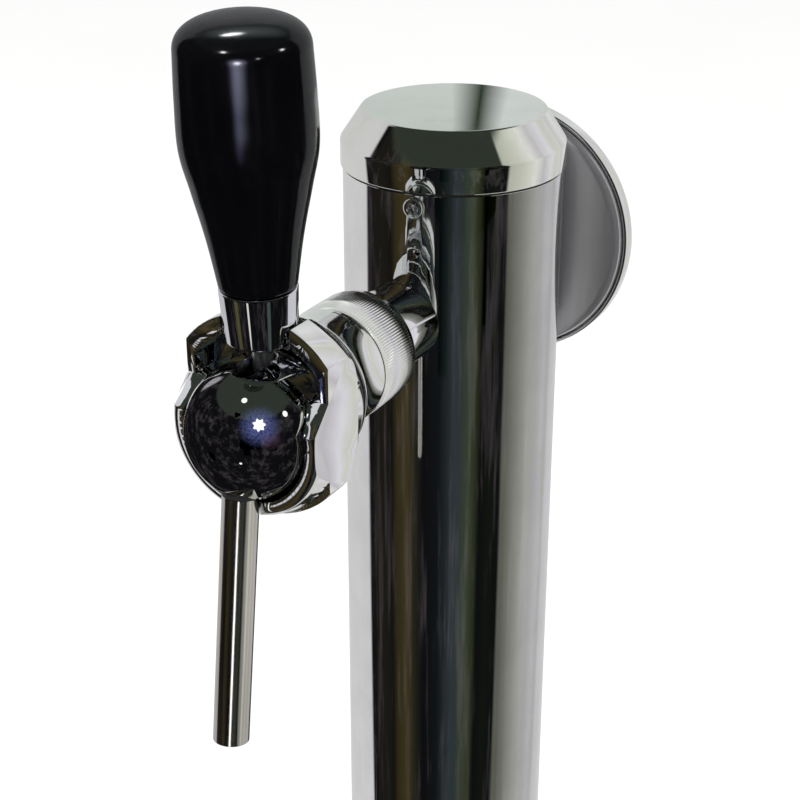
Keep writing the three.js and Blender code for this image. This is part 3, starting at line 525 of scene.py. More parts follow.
def brushed(name, tint, scale, turn=(0.0, 0.0, 0.0), rough=(0.22, 0.4), strength=0.25, metal=1.0):
    """Metal with lengthwise grain: the scale stretches the grain along one axis."""
    material, n = new_material(name)
    grain = n.noise(n.coordinates(scale, turn), 60.0, 6.0, 0.65)
    patches = n.noise(n.coordinates(), 55.0, 4.0)
    darker = tuple(0.72 * value for value in tint)
    color = n.mix(n.remap(grain, 0.3, 0.7), (*darker, 1.0), (*tint, 1.0))
    color = n.mix(n.math("MULTIPLY", n.remap(patches, 0.5, 0.8), 0.35), color, (*darker, 1.0))
    close_material(
        n,
        {
            "Base Color": color,
            "Metallic": metal,
            "Roughness": n.remap(grain, 0.25, 0.75, *rough),
            "Normal": n.bump(grain, strength, 0.00012),
        },
    )
    return material


def moulded(name, tint, rough, spots=320.0, strength=0.15, coat=0.0, variation=0.25):
    """Plastic or rubber with a faint mould texture, dust in places and small changes of gloss."""
    material, n = new_material(name)
    fine = n.noise(n.coordinates(), spots * 4, 4.0)
    broad = n.noise(n.coordinates(), 45.0, 4.0)
    paler = tuple(min(1.0, value * (1 + variation)) for value in tint)
    close_material(
        n,
        {
            "Base Color": n.mix(n.remap(broad, 0.4, 0.7), (*tint, 1.0), (*paler, 1.0)),
            "Roughness": n.remap(broad, 0.35, 0.7, *rough),
            "Coat Weight": coat,
            "Coat Roughness": 0.05,
            "Normal": n.bump(fine, strength, 0.00008),
        },
    )
    return material


def clear_lens(name):
    material, n = new_material(name)
    wiped = n.noise(n.coordinates(), 60.0, 4.0)
    close_material(
        n,
        {
            "Base Color": (0.97, 0.98, 0.98, 1.0),
            "Roughness": n.remap(wiped, 0.45, 0.75, 0.02, 0.1),
            "IOR": 1.49,
            "Transmission Weight": 1.0,
            "Normal": n.bump(wiped, 0.02, 0.0001),
        },
    )
    return material


# Stretches of a texture: polishing streaks run along the small axis
ALL_WAYS = (1.0, 1.0, 1.0)
UPRIGHT = (1.0, 1.0, 0.05)
ALONG_TAP = (1.0, 0.05, 1.0)

column_chrome = chrome("column_chrome", UPRIGHT, (0.03, 0.10))
cap_chrome = chrome("cap_chrome", ALL_WAYS, (0.02, 0.07), tint=(0.81, 0.83, 0.81))
tap_chrome = chrome("tap_chrome", ALONG_TAP, (0.03, 0.09))
ball_chrome = chrome("ball_chrome", ALL_WAYS, (0.015, 0.06), wear=0.08)
ferrule_chrome = chrome("ferrule_chrome", UPRIGHT, (0.02, 0.08), turn=(LEAN, 0.0, 0.0))
dish_metal = brushed(
    "dish_metal", (0.64, 0.63, 0.67), (1.0, 1.0, 0.08), rough=(0.2, 0.28), strength=0.1, metal=0.8
)
rim_chrome = chrome("rim_chrome", ALL_WAYS, (0.08, 0.16))
spout_metal = brushed(
    "spout_metal",
    (0.62, 0.6, 0.57),
    (1.0, 1.0, 0.03),
    turn=(-SPOUT_TILT, 0.0, 0.0),
    rough=(0.12, 0.22),
    strength=0.2,
)
turned_steel = brushed("turned_steel", (0.68, 0.68, 0.68), ALONG_TAP, strength=0.2)
brass_metal = brushed("brass_metal", (0.72, 0.55, 0.24), ALONG_TAP, strength=0.2)
grip_black = moulded("grip_black", (0.0015, 0.0015, 0.0022), (0.09, 0.18), strength=0.03, coat=0.35)
black_rubber = moulded("black_rubber", (0.018, 0.018, 0.018), (0.55, 0.75), strength=0.35)
hose_milk = moulded("hose_milk", (0.8, 0.81, 0.78), (0.3, 0.45), strength=0.1)
badge_paint = moulded("badge_paint", (0.8, 0.79, 0.75), (0.35, 0.5), strength=0.08, variation=0.05)
badge_lens_clear = clear_lens("badge_lens_clear")

SLOT_MATERIALS = {
    "chrome": tap_chrome,
    "spout_steel": spout_metal,
    "stainless": turned_steel,
    "brass": brass_metal,
    "handle_black": grip_black,
    "rubber": black_rubber,
    "hose": hose_milk,
    "badge_face": badge_paint,
    "badge_clear": badge_lens_clear,
}
NODE_SLOTS = {entry["node"]: entry["material_slot"] for entry in frame["record"]["subparts"]}
for node_name, node in frame["nodes"].items():
    node.data.materials.clear()
    node.data.materials.append(SLOT_MATERIALS[NODE_SLOTS[node_name]])

# ---- Column ----


def column_cutter():
    """Stands for the column where the ends of the neck and the stem are hollowed to fit it."""
    return rod("cut", COLUMN_R + CLEARANCE, 250.0, 420.0, IN_COLUMN, 160)


def radial(angle, height):
    """Turns a piece built along +Z to point out of the column at this angle from the tap's direction."""
    return (
        Matrix.Translation((0, 0, height))
        @ Matrix.Rotation(angle, 4, "Z")
        @ Matrix.Rotation(math.pi / 2, 4, "X")
    )


def screw_hole(angle, height):
    return rod("cut", SCREW_HOLE_R, *WALL_CUT, radial(angle, height), 24)


def base_screw_holes():
    return [screw_hole(angle, BASE_SCREW_H) for angle in BASE_SCREW_ANGLES]


tube_outline = eased(
    [
        (COLUMN_INNER_R, FLANGE_TOP + FACE_GAP),
        (COLUMN_R, FLANGE_TOP + FACE_GAP),
        (COLUMN_R, TUBE_TOP),
        (COLUMN_INNER_R, TUBE_TOP),
    ],
    0.25,
)
column = lathe("column", tube_outline, IN_COLUMN, 192)
combine(
    column,
    [
        rod("cut", SHANK_HOLE_R, *WALL_CUT, IN_TAP, 64),
        rod("cut", BOLT_HOLE_R, *WALL_CUT, IN_MEDALLION, 32),
        screw_hole(CAP_SCREW_ANGLE, CAP_SCREW_H),
        *base_screw_holes(),
    ],
)
dress(column, column_chrome, "stand", "chrome", "column_tube")

seal = lathe(
    "cap_gasket",
    eased(
        [
            (COLUMN_INNER_R, CAP_SEAL_BOTTOM),
            (COLUMN_R - 0.2, CAP_SEAL_BOTTOM),
            (COLUMN_R - 0.2, SEAM - FACE_GAP),
            (COLUMN_INNER_R, SEAM - FACE_GAP),
        ],
        0.15,
    ),
    IN_COLUMN,
    160,
)
dress(seal, black_rubber, "stand", "rubber", "cap_seal")

skirt_inner_r = SPIGOT_R - SKIRT_WALL
cap_outer = eased(
    [
        (skirt_inner_r, SEAM - SKIRT_DEPTH),
        (SPIGOT_R, SEAM - SKIRT_DEPTH),
        (SPIGOT_R, SEAM),
        (CAP_BAND_R, SEAM),
        (CAP_BAND_R, SEAM + CAP_BAND_H),
        (CAP_TOP_R, TOTAL_H),
        (0, TOTAL_H),
    ],
    0.55,
    closed=False,
    steps=4,
)
cap_inner = [
    (0, TOTAL_H - CAP_WALL),
    (skirt_inner_r - (CAP_BAND_R - CAP_TOP_R), TOTAL_H - CAP_WALL),
    (skirt_inner_r, SEAM + CAP_BAND_H - CAP_WALL),
]
cap = lathe("cap", [*cap_inner, *cap_outer], IN_COLUMN, 192)
combine(cap, [screw_hole(CAP_SCREW_ANGLE, CAP_SCREW_H)])
dress(cap, cap_chrome, "stand", "chrome", "top_cap", sharp=20)

flange_outline = eased(
    [
        (0, FLANGE_BOTTOM),
        (FLANGE_R, FLANGE_BOTTOM),
        (FLANGE_R, FLANGE_TOP - FLANGE_CHAMFER),
        (FLANGE_R - FLANGE_CHAMFER, FLANGE_TOP),
        (SPIGOT_R, FLANGE_TOP),
        (SPIGOT_R, FLANGE_TOP + (SPIGOT_H - 1.0)),
        (SPIGOT_R - 1.0, FLANGE_TOP + SPIGOT_H),
        (SPIGOT_R - SPIGOT_WALL, FLANGE_TOP + SPIGOT_H),
        (SPIGOT_R - SPIGOT_WALL, FLANGE_TOP),
        (0, FLANGE_TOP),
    ],
    0.5,
    closed=False,
)
flange = lathe("base_plate", flange_outline, IN_COLUMN, 192)
counter_places = [
    Matrix.Translation((COUNTER_CIRCLE_R * math.cos(a), COUNTER_CIRCLE_R * math.sin(a), 0))
    for a in [(i + 0.5) * math.pi / 2 for i in range(4)]
]
line_place = Matrix.Translation((0, LINE_BEHIND, 0))
under_foot, over_flange, over_gasket = -1.0, 14.0, 4.0
sink_outline = [
    (0, under_foot),
    (COUNTER_HOLE_R, under_foot),
    (COUNTER_HOLE_R, FLANGE_TOP - SINK_DEPTH),
    (SINK_R, FLANGE_TOP),
    (SINK_R, over_flange),
    (0, over_flange),
]
sinks = [lathe("cut", sink_outline, place, 32) for place in counter_places]
line_hole = rod("cut", LINE_HOLE_R, under_foot, over_flange, line_place, 48)
combine(flange, [*sinks, line_hole, *base_screw_holes()])
dress(flange, column_chrome, "stand", "chrome", "base_flange")

gasket_r = FLANGE_R - 0.5
gasket_outline = [(0, 0), (gasket_r, 0), (gasket_r, GASKET_TOP), (0, GASKET_TOP)]
gasket = lathe("base_seal", eased(gasket_outline, 0.4, closed=False), IN_COLUMN)
combine(
    gasket,
    [rod("cut", COUNTER_HOLE_R, under_foot, over_gasket, place, 32) for place in counter_places]
    + [rod("cut", LINE_HOLE_R, under_foot, over_gasket, line_place, 48)],
)
dress(gasket, black_rubber, "stand", "rubber", "base_gasket")


def pan_screw(name, angle, height, node):
    """Domed screw with a cross recess whose walls narrow inwards."""
    under = COLUMN_R + FACE_GAP
    top = under + SCREW_HEAD_H
    dome_start = (SCREW_HEAD_R, under + 0.9)
    outline = [
        (0, under - SCREW_LENGTH),
        (SCREW_R - 0.4, under - SCREW_LENGTH),
        (SCREW_R, under - (SCREW_LENGTH - 0.5)),
        (SCREW_R, under),
        (SCREW_HEAD_R - 0.2, under),
        (SCREW_HEAD_R, under + 0.25),
        dome_start,
        *bezier(dome_start, (SCREW_HEAD_R - 0.1, top), (0, top), 10)[1:],
    ]
    place = radial(angle, height)
    screw = lathe(name, outline, place, 48)
    floor_of_cross = (top - CROSS_DEPTH, 1.35, 0.32)
    above_cross = (top + 1.5, 2.6, 0.72)
    arms = []
    for turn in (CROSS_TURN, CROSS_TURN + math.pi / 2):
        corners = []
        for z, half, width in (floor_of_cross, above_cross):
            corners += [(sx * half, sy * width, z) for sx in (-1, 1) for sy in (-1, 1)]
        arms.append(hull("cut", corners, place @ Matrix.Rotation(turn, 4, "Z")))
    combine(screw, arms)
    bevelled(screw, 0.08, 2, 40)
    return dress(screw, rim_chrome, "stand", "chrome", node)


pan_screw("cap_fixing", CAP_SCREW_ANGLE, CAP_SCREW_H, "cap_screw")
for index, angle in enumerate(BASE_SCREW_ANGLES):
    pan_screw(f"base_fixing_{index + 1}", angle, BASE_SCREW_H, f"base_screw_{index + 1}")

# ---- Tap ----

neck_outline = [
    (SHANK_HOLE_R, STUB_START),
    (NECK_R, STUB_START),
    (NECK_R, NECK_END - 0.4),
    (NECK_R - 0.4, NECK_END),
    (SHANK_HOLE_R, NECK_END),
]
neck = lathe("neck", neck_outline, IN_TAP, 96)
combine(neck, [column_cutter()])
bevelled(neck, 0.3, 3, 40)
dress(neck, tap_chrome, "stand", "chrome", "shank_spacer")


def knurled_nut():
    """The nut that clamps the tap: a straight knurl between plain bands."""
    profile = (0.0, 0.36, RIDGE_H, 0.36)
    sides = len(profile) * KNURL_RIDGES
    groove = NUT_R - RIDGE_H
    back, front = NUT_BACK + 2.2, NUT_FRONT - 1.4
    run_out = 0.45
    rounding = ((0.75, 0.0), (0.25, 0.1), (0.0, 0.4))
    stations = [
        (SHANK_HOLE_R, NUT_BACK, 0),
        *[(groove - inset, NUT_BACK + depth, 0) for inset, depth in rounding],
        (groove, back, 0),
        (groove, back + run_out, 1),
        (groove, front - run_out, 1),
        (groove, front, 0),
        *[(groove - inset, NUT_FRONT - depth, 0) for inset, depth in reversed(rounding)],
        (NUT_BORE_R, NUT_FRONT, 0),
        (NUT_BORE_R, NUT_BACK + NUT_WEB, 0),
        (SHANK_HOLE_R, NUT_BACK + NUT_WEB, 0),
    ]
    bm = bmesh.new()
    rings = []
    for radius, height, ridged in stations:
        row = []
        for i in range(sides):
            angle = 2 * math.pi * i / sides
            here = radius + (profile[i % len(profile)] if ridged else 0.0)
            row.append(bm.verts.new((here * math.cos(angle), here * math.sin(angle), height)))
        rings.append(row)
    for low, high in zip(rings, rings[1:] + rings[:1]):
        for i in range(sides):
            j = (i + 1) % sides
            bm.faces.new((low[i], low[j], high[j], high[i]))
    return placed("clamp_nut", bm, IN_TAP)


dress(knurled_nut(), tap_chrome, "stand", "chrome", "coupling_nut", sharp=50)

bell_bend = BARREL_SHOULDER + 0.55 * (BELL_FRONT - BARREL_SHOULDER)
barrel_outline = eased(
    [
        (INLET_R, BARREL_BACK),
        (BARREL_TAIL_R, BARREL_BACK),
        (BARREL_TAIL_R, BARREL_SHOULDER),
        *bezier((BARREL_R, BARREL_SHOULDER), (BARREL_R, bell_bend), (BELL_R, BELL_FRONT), 20),
        (LIP_R, BELL_FRONT),
        (LIP_R, BARREL_FRONT),
        (CAVITY_R, BARREL_FRONT),
        (CAVITY_R, LIP_BACK),
        (STEM_BORE_R, LIP_BACK),
        (STEM_BORE_R, SEAT_FRONT),
        (SEAT_R, SEAT_FRONT),
        (SEAT_R, SEAT_BACK),
        (CHAMBER_R, SEAT_BACK),
        (CHAMBER_R, CHAMBER_BACK),
        (INLET_R, CHAMBER_BACK),
    ],
    0.4,
    least=math.radians(40),
)
barrel = lathe("barrel", barrel_outline, IN_TAP)
dress(barrel, tap_chrome, "stand", "chrome", "tap_barrel")

packing_outline = [
    (LIP_R + CLEARANCE, BELL_FRONT + CLEARANCE),
    (BELL_R - CLEARANCE, BELL_FRONT + CLEARANCE),
    (BELL_R - CLEARANCE, BODY_BACK - CLEARANCE),
    (LIP_R + CLEARANCE, BODY_BACK - CLEARANCE),
]
packing = lathe("barrel_packing", eased(packing_outline, 0.5), IN_TAP, 96)
dress(packing, black_rubber, "stand", "rubber", "barrel_ring")


def mouth():
    """Two cutters: the recess above the collar, and the bevel down to the collar's front edge."""
    side = math.asin(MOUTH_HALF / MOUTH_R)
    rim = [(-MOUTH_HALF, MOUTH_LOW), *arc(MOUTH_R, -side, side, steps=40), (MOUTH_HALF, MOUTH_LOW)]
    recess = hull("cut", [(x, y, s) for s in (MOUTH_BACK, DRUM_FRONT + 1.0) for x, y in rim], IN_TAP)
    outside = 36.0
    back = DRUM_FRONT - 0.05
    front = COLLAR_END + 2 * OVERRUN
    corners = [(back, MOUTH_LOW), (front, MOUTH_LOW + back - front), (front, outside), (back, outside)]
    bevel = hull("cut", [(x, y, s) for x in (-outside, outside) for s, y in corners], IN_TAP)
    return [recess, bevel]


def drum():
    """The tap's body: domed back, flat front, two side flats and a tapering collar about the ball."""
    widest = (DRUM_R, DRUM_WIDEST)
    outline = [
        (0, BODY_BACK),
        *eased([(0, BODY_BACK), (BODY_BACK_R, BODY_BACK), DRUM_EDGE], 0.5, closed=False)[1:-1],
        *bezier(DRUM_EDGE, (DRUM_R, DRUM_WIDEST - 6.4), widest, 16),
        *eased([widest, (DRUM_R, DRUM_FRONT), (0, DRUM_FRONT)], 0.6, closed=False, steps=4)[1:],
    ]
    body = lathe("drum", outline, IN_TAP, 160)
    collar_place = IN_TAP @ Matrix.Translation((0, -BALL_DROP, 0))
    collar_outline = [
        (0, COLLAR_BACK),
        (COLLAR_R, COLLAR_BACK),
        (COLLAR_R, DRUM_FRONT),
        *bezier((26.4, COLLAR_END - 2.4), (26.0, COLLAR_END), (23.6, COLLAR_END), 10),
        (0, COLLAR_END),
    ]
    combine(body, [lathe("collar", collar_outline, collar_place, 160)], "UNION")
    slot_half = FERRULE_HIGH_R + CLEARANCE
    slot_back = (BALL_REACH - PIVOT_BEHIND) + math.sin(LEAN) * FERRULE_LOW - slot_half - 2 * CLEARANCE
    bore_end, seat_start = 113.3, 113.0
    behind, beyond, aside = 95, 140, 40
    cutters = [
        rod("cut", LIP_R + CLEARANCE, BODY_BACK - OVERRUN, bore_end, IN_TAP, 128),
        rod("cut", BALL_R + CLEARANCE, seat_start, COLLAR_END + OVERRUN, collar_place, 128),
        block("cut", (FLAT_HALF, -aside, behind), (aside, aside, beyond), IN_TAP),
        block("cut", (-aside, -aside, behind), (-FLAT_HALF, aside, beyond), IN_TAP),
        block("cut", (-slot_half, 0.05, slot_back), (slot_half, aside, beyond), IN_TAP),
        *mouth(),
        rod("cut", SPOUT_R + 2 * CLEARANCE, CAVITY_R, 90.0, IN_SPOUT, 64),
    ]
    combine(body, cutters)
    return bevelled(body, 0.3, 3, 28, flat=True)


dress(drum(), tap_chrome, "stand", "chrome", "tap_body", sharp=30)


def ball():
    """Hollow ball with its skirt, the spout's bore, the pin's hole and the lever's slot."""
    back = BALL_BACK - BALL_REACH
    outline = [
        (0, CAVITY_R),
        *arc(CAVITY_R, 0.0, math.pi / 2, steps=24)[1:],
        (CAVITY_R, back),
        (BALL_R - 0.3, back),
        (BALL_R, back + 0.3),
        *arc(BALL_R, math.pi / 2, 0.0, steps=48)[:-1],
        (0, BALL_R),
    ]
    housing = lathe("ball", outline, IN_BALL)
    pivot = Matrix.Translation((0, 0, -PIVOT_BEHIND))
    slot_r = LEVER_R + 2 * CLEARANCE
    sides = 40
    slot = []
    for angle in (LEAN, LEAN + TRAVEL):
        turn = pivot @ Matrix.Rotation(angle - math.pi / 2, 4, "X")
        for i in range(sides):
            a = 2 * math.pi * i / sides
            for z in (0.0, 2 * BALL_R):
                slot.append(turn @ Vector((slot_r * math.cos(a), slot_r * math.sin(a), z)))
    pin_place = IN_BALL @ pivot @ Matrix.Rotation(math.pi / 2, 4, "Y")
    cutters = [
        rod("cut", SPOUT_R + CLEARANCE, 0.0, BALL_R + OVERRUN, IN_SPOUT, 64),
        rod("cut", PIN_HOLE_R, -2 * BALL_R, 2 * BALL_R, pin_place, 32),
        hull("cut", slot, IN_BALL),
    ]
    combine(housing, cutters)
    return bevelled(housing, 0.25, 2, 40)


dress(ball(), ball_chrome, "stand", "chrome", "ball_housing", sharp=38)

# ---- Lever and handle ----


def lever():
    """Rod with a ball tip for the valve stem's fork and a boss for the pin."""
    steps = 14
    tip = []
    for i in range(steps + 1):
        a = -math.pi / 2 + i * (0.75 * math.pi) / steps
        tip.append((LEVER_TIP_R * math.cos(a), LEVER_TIP_H + LEVER_TIP_R * math.sin(a)))
    outline = [
        (0, tip[0][1]),
        *tip[1:],
        (LEVER_WAIST_R, 0),
        (LEVER_R, 0),
        (LEVER_R, LEVER_TOP - 0.4),
        (LEVER_R - 0.4, LEVER_TOP),
        (0, LEVER_TOP),
    ]
    spine = lathe("lever_shaft", outline, IN_LEVER, 48)
    sideways = IN_LEVER @ Matrix.Rotation(math.pi / 2, 4, "Y")
    combine(spine, [rod("boss", LEVER_BOSS_R, -6.0, 6.0, sideways, 48)], "UNION")
    combine(spine, [rod("cut", PIN_HOLE_R, -9.0, 9.0, sideways, 32)])
    return bevelled(spine, 0.2, 2, 40)


dress(lever(), turned_steel, "lever", "stainless", "lever_rod")


def boot_hole(radius):
    """Angle from the lever at which the boot's hole starts in a layer of this radius."""
    return math.asin((LEVER_R + CLEARANCE) / radius)


boot_outline = [
    *arc(BOOT_IN_R, boot_hole(BOOT_IN_R), BOOT_EDGE, steps=10),
    *arc(BOOT_OUT_R, BOOT_EDGE, boot_hole(BOOT_OUT_R), steps=10),
]
boot = lathe("lever_boot", boot_outline, IN_LEVER, 64)
dress(boot, black_rubber, "lever", "rubber", "lever_seal")

ferrule_outline = eased(
    [
        (LEVER_R + CLEARANCE, FERRULE_LOW),
        (FERRULE_LOW_R, FERRULE_LOW),
        (FERRULE_HIGH_R, FERRULE_HIGH),
        (LEVER_R + CLEARANCE, FERRULE_HIGH),
    ],
    0.7,
    steps=5,
)
ferrule = lathe("ferrule", ferrule_outline, IN_LEVER)
dress(ferrule, ferrule_chrome, "lever", "chrome", "handle_ferrule")

grip_side = catmull(
    [
        (GRIP_NECK_R, GRIP_LOW),
        (14.2, 60.0),
        (17.35, 74.4),
        (19.85, 86.5),
        (19.85, 100.5),
        (GRIP_CROWN_R, GRIP_CROWN_H),
    ],
    12,
)
grip_crown = bezier((GRIP_CROWN_R, GRIP_CROWN_H), (GRIP_CROWN_R, GRIP_TOP), (0.0, GRIP_TOP), 24)
grip_outline = [
    (0, GRIP_BORE_TOP),
    (GRIP_BORE_R, GRIP_BORE_TOP),
    (GRIP_BORE_R, GRIP_LOW),
    (GRIP_NECK_R - 0.4, GRIP_LOW),
    (GRIP_NECK_R - 0.05, GRIP_LOW + 0.3),
    *[p for p in grip_side if p[1] > GRIP_LOW + 0.6],
    *grip_crown[1:],
]
grip = lathe("grip", grip_outline, IN_LEVER)
dress(grip, grip_black, "lever", "handle_black", "handle_grip")

# ---- Spout ----

spout_start = math.sqrt(CAVITY_R**2 - SPOUT_AHEAD**2) + 0.4
spout_end = spout_start + SPOUT_LENGTH
groove_start, groove_end = [spout_start + along for along in SPOUT_GROOVE]
spout_outline = eased(
    [
        (SPOUT_R - SPOUT_WALL, spout_start),
        (SPOUT_R, spout_start),
        (SPOUT_R, groove_start),
        (SPOUT_R - SPOUT_GROOVE_DEPTH, groove_start),
        (SPOUT_R - SPOUT_GROOVE_DEPTH, groove_end),
        (SPOUT_R, groove_end),
        (SPOUT_R, spout_end),
        (SPOUT_R - SPOUT_WALL, spout_end),
    ],
    0.25,
)
spout = lathe("spout", spout_outline, IN_SPOUT, 96)
dress(spout, spout_metal, "stand", "spout_steel", "spout_tube")

# ---- Medallion ----

stem_end = DISH_BACK - CLEARANCE
stem_outline = [
    (BOLT_HOLE_R, STUB_START),
    (STEM_R, STUB_START),
    (STEM_R, stem_end),
    (BOLT_HOLE_R, stem_end),
]
stem = lathe("medallion_stem", stem_outline, IN_MEDALLION, 96)
combine(stem, [column_cutter()])
bevelled(stem, 0.3, 2, 40)
dress(stem, tap_chrome, "stand", "chrome", "medallion_spacer")

dish_outline = [
    (BOLT_HOLE_R, DISH_BACK),
    *bezier((DISH_R - DISH_EDGE, DISH_BACK), (DISH_R, DISH_BACK), (DISH_R, DISH_BACK + DISH_EDGE), 12),
    (DISH_R, DISH_BACK + DISH_DEPTH),
    (DISH_R - DISH_WALL, DISH_BACK + DISH_DEPTH),
    (DISH_R - DISH_WALL, DISH_FLOOR + 2.0),
    (DISH_R - DISH_EDGE, DISH_FLOOR),
    (BOLT_HOLE_R, DISH_FLOOR),
]
dish = lathe("dish", dish_outline, IN_MEDALLION, 160)
dress(dish, dish_metal, "stand", "chrome", "medallion_dish")


def disc(name, back, thick, rounding):
    """A disc of the badge's size in the medallion."""
    outline = [(0, back), (BADGE_R, back), (BADGE_R, back + thick), (0, back + thick)]
    return lathe(name, eased(outline, rounding, closed=False), IN_MEDALLION)


plate = disc("badge_disc", PLATE_BACK, PLATE_THICK, 0.2)
dress(plate, badge_paint, "stand", "badge_face", "badge_plate")
lens = disc("badge_cover", LENS_BACK, LENS_THICK, 0.4)
dress(lens, badge_lens_clear, "stand", "badge_clear", "badge_lens")
lens.visible_shadow = False

bezel_outline = eased(
    [
        (DISH_R + CLEARANCE, BEZEL_FRONT - BEZEL_DEPTH),
        (MEDALLION_R, BEZEL_FRONT - BEZEL_DEPTH),
        (MEDALLION_R, BEZEL_FRONT),
        (BADGE_R - BEZEL_LAP, BEZEL_FRONT),
        (BADGE_R - BEZEL_LAP, BEZEL_BACK),
        (DISH_R + CLEARANCE, BEZEL_BACK),
    ],
    0.6,
    steps=4,
)
bezel = lathe("bezel", bezel_outline, IN_MEDALLION, 160)
dress(bezel, rim_chrome, "stand", "chrome", "medallion_bezel")

# ---- Floor, light and camera (metres) ----

CAMERA_AT = Vector((0.26644, -0.50965, 0.5520))
CAMERA_AZIMUTH = math.radians(29.42)
CAMERA_PITCH = math.radians(24.49)
CAMERA_LENS = 77.6
CAMERA_SENSOR = 36.0
CAMERA_SIDE = math.atan2(CAMERA_AT.y, CAMERA_AT.x)
BALL_AT = Vector((0.0, -0.1255, 0.3306))
GRIP_AT = Vector((0.0094, -0.1410, 0.44))
DISH_AT = Vector((0.035, 0.0425, 0.33))
SPOUT_AT = Vector((0.0, -0.14, 0.27))
FERRULE_AT = Vector((0.0, -0.121, 0.367))
ROOM_AT = Vector((0.0, -0.06, 0.34))
WHITE = (1.0, 1.0, 1.0)

floor_bm = bmesh.new()
bmesh.ops.create_grid(floor_bm, x_segments=8, y_segments=8, size=6.0)
floor = mesh_object("floor", floor_bm)
floor.location.z = -0.0002
floor_material, n = new_material("floor_paper")
tone = n.noise(n.coordinates(), 3.0, 3.0)
close_material(
    n,
    {
        "Base Color": n.mix(tone, (0.86, 0.86, 0.855, 1.0), (0.9, 0.9, 0.895, 1.0)),
        "Roughness": 0.9,
        "Specular IOR Level": 0.1,
    },
)
floor.data.materials.append(floor_material)
floor.visible_glossy = False


def direction(azimuth, elevation):
    """Unit vector for two angles in degrees; the azimuth runs to the right of the camera's side."""
    a = math.radians(azimuth) + CAMERA_SIDE
    e = math.radians(elevation)
    return Vector((math.cos(e) * math.cos(a), math.cos(e) * math.sin(a), math.sin(e)))


def lamp(name, azimuth, elevation, away, energy, size):
    """Soft round lamp that faces the ball and isn't mirrored."""
    light = bpy.data.lights.new(name, "AREA")
    light.energy = energy
    light.shape = "DISK"
    light.size = size
    obj = bpy.data.objects.new(name, light)
    obj.location = direction(azimuth, elevation) * away + BALL_AT
    obj.rotation_euler = (BALL_AT - obj.location).to_track_quat("-Z", "Y").to_euler()
    obj.visible_glossy = False
    obj.visible_camera = False
    bpy.context.scene.collection.objects.link(obj)


lamp("key", -50, 55, 1.6, 9.0, 1.2)
lamp("fill", 70, 35, 1.8, 6.0, 1.4)


def around(n, vector):
    """Share of a turn, a half being the camera's side and more being to its right, and the height."""
    split = n.add("ShaderNodeSeparateXYZ", inputs={"Vector": vector})
    raw = n.math("ARCTAN2", split.outputs["Y"], split.outputs["X"])
    turns = n.math("DIVIDE", n.math("SUBTRACT", raw, CAMERA_SIDE), 2 * math.pi)
    return n.math("FRACT", n.math("ADD", turns, 0.5)), split.outputs["Z"]


def at(degrees):
    """The share of a turn at this azimuth."""
    return degrees / 360.0 + 0.5


def mirrored_only(obj, pieces, material):
    """A stage object that shows only in the polish of these pieces."""
    obj.data.materials.append(material)
    obj.visible_camera = False
    obj.visible_diffuse = False
    obj.visible_transmission = False
    obj.visible_volume_scatter = False
    obj.visible_shadow = False
    group = bpy.data.collections.new(obj.name + "_seen_by")
    for piece in pieces:
        group.objects.link(piece)
    obj.light_linking.receiver_collection = group


def close_glow(n, color, strength):
    """Light that is added to what lies behind it."""
    light = n.add("ShaderNodeEmission", inputs={"Color": color, "Strength": strength})
    clear = n.add("ShaderNodeBsdfTransparent")
    both = n.add("ShaderNodeAddShader", inputs={0: light.outputs[0], 1: clear.outputs[0]})
    output = n.add("ShaderNodeOutputMaterial")
    n.tree.links.new(both.outputs[0], output.inputs["Surface"])


def shell(name, left, right, bands, pieces, size, inside=False, above=-2.0, below=0.65):
    """A part of the room: beyond or inside two azimuths, between two heights of the direction.

    The bands are colours at azimuths in degrees.
    """
    bm = bmesh.new()
    bmesh.ops.create_uvsphere(bm, u_segments=96, v_segments=48, radius=1.0)
    obj = mesh_object(name, bm)
    obj.location = ROOM_AT
    obj.scale = (size, size, size)
    material, n = new_material(name)
    share, height = around(n, n.add("ShaderNodeTexCoord").outputs["Object"])
    blur, blur_up = 2, 0.04
    lit = n.math(
        "ADD",
        n.remap(share, at(left - blur), at(left + blur), 1.0, 0.0, smooth=True),
        n.remap(share, at(right - blur), at(right + blur), smooth=True),
    )
    if inside:
        lit = n.math("SUBTRACT", 1.0, lit)
    over = n.remap(height, above - blur_up, above + blur_up, smooth=True)
    under = n.remap(height, below - blur_up, below + blur_up, 1.0, 0.0, smooth=True)
    lit = n.math("MULTIPLY", n.math("MULTIPLY", lit, over), under)
    close_glow(n, n.ramp(share, [(at(degrees), color) for degrees, color in bands]), lit)
    mirrored_only(obj, pieces, material)


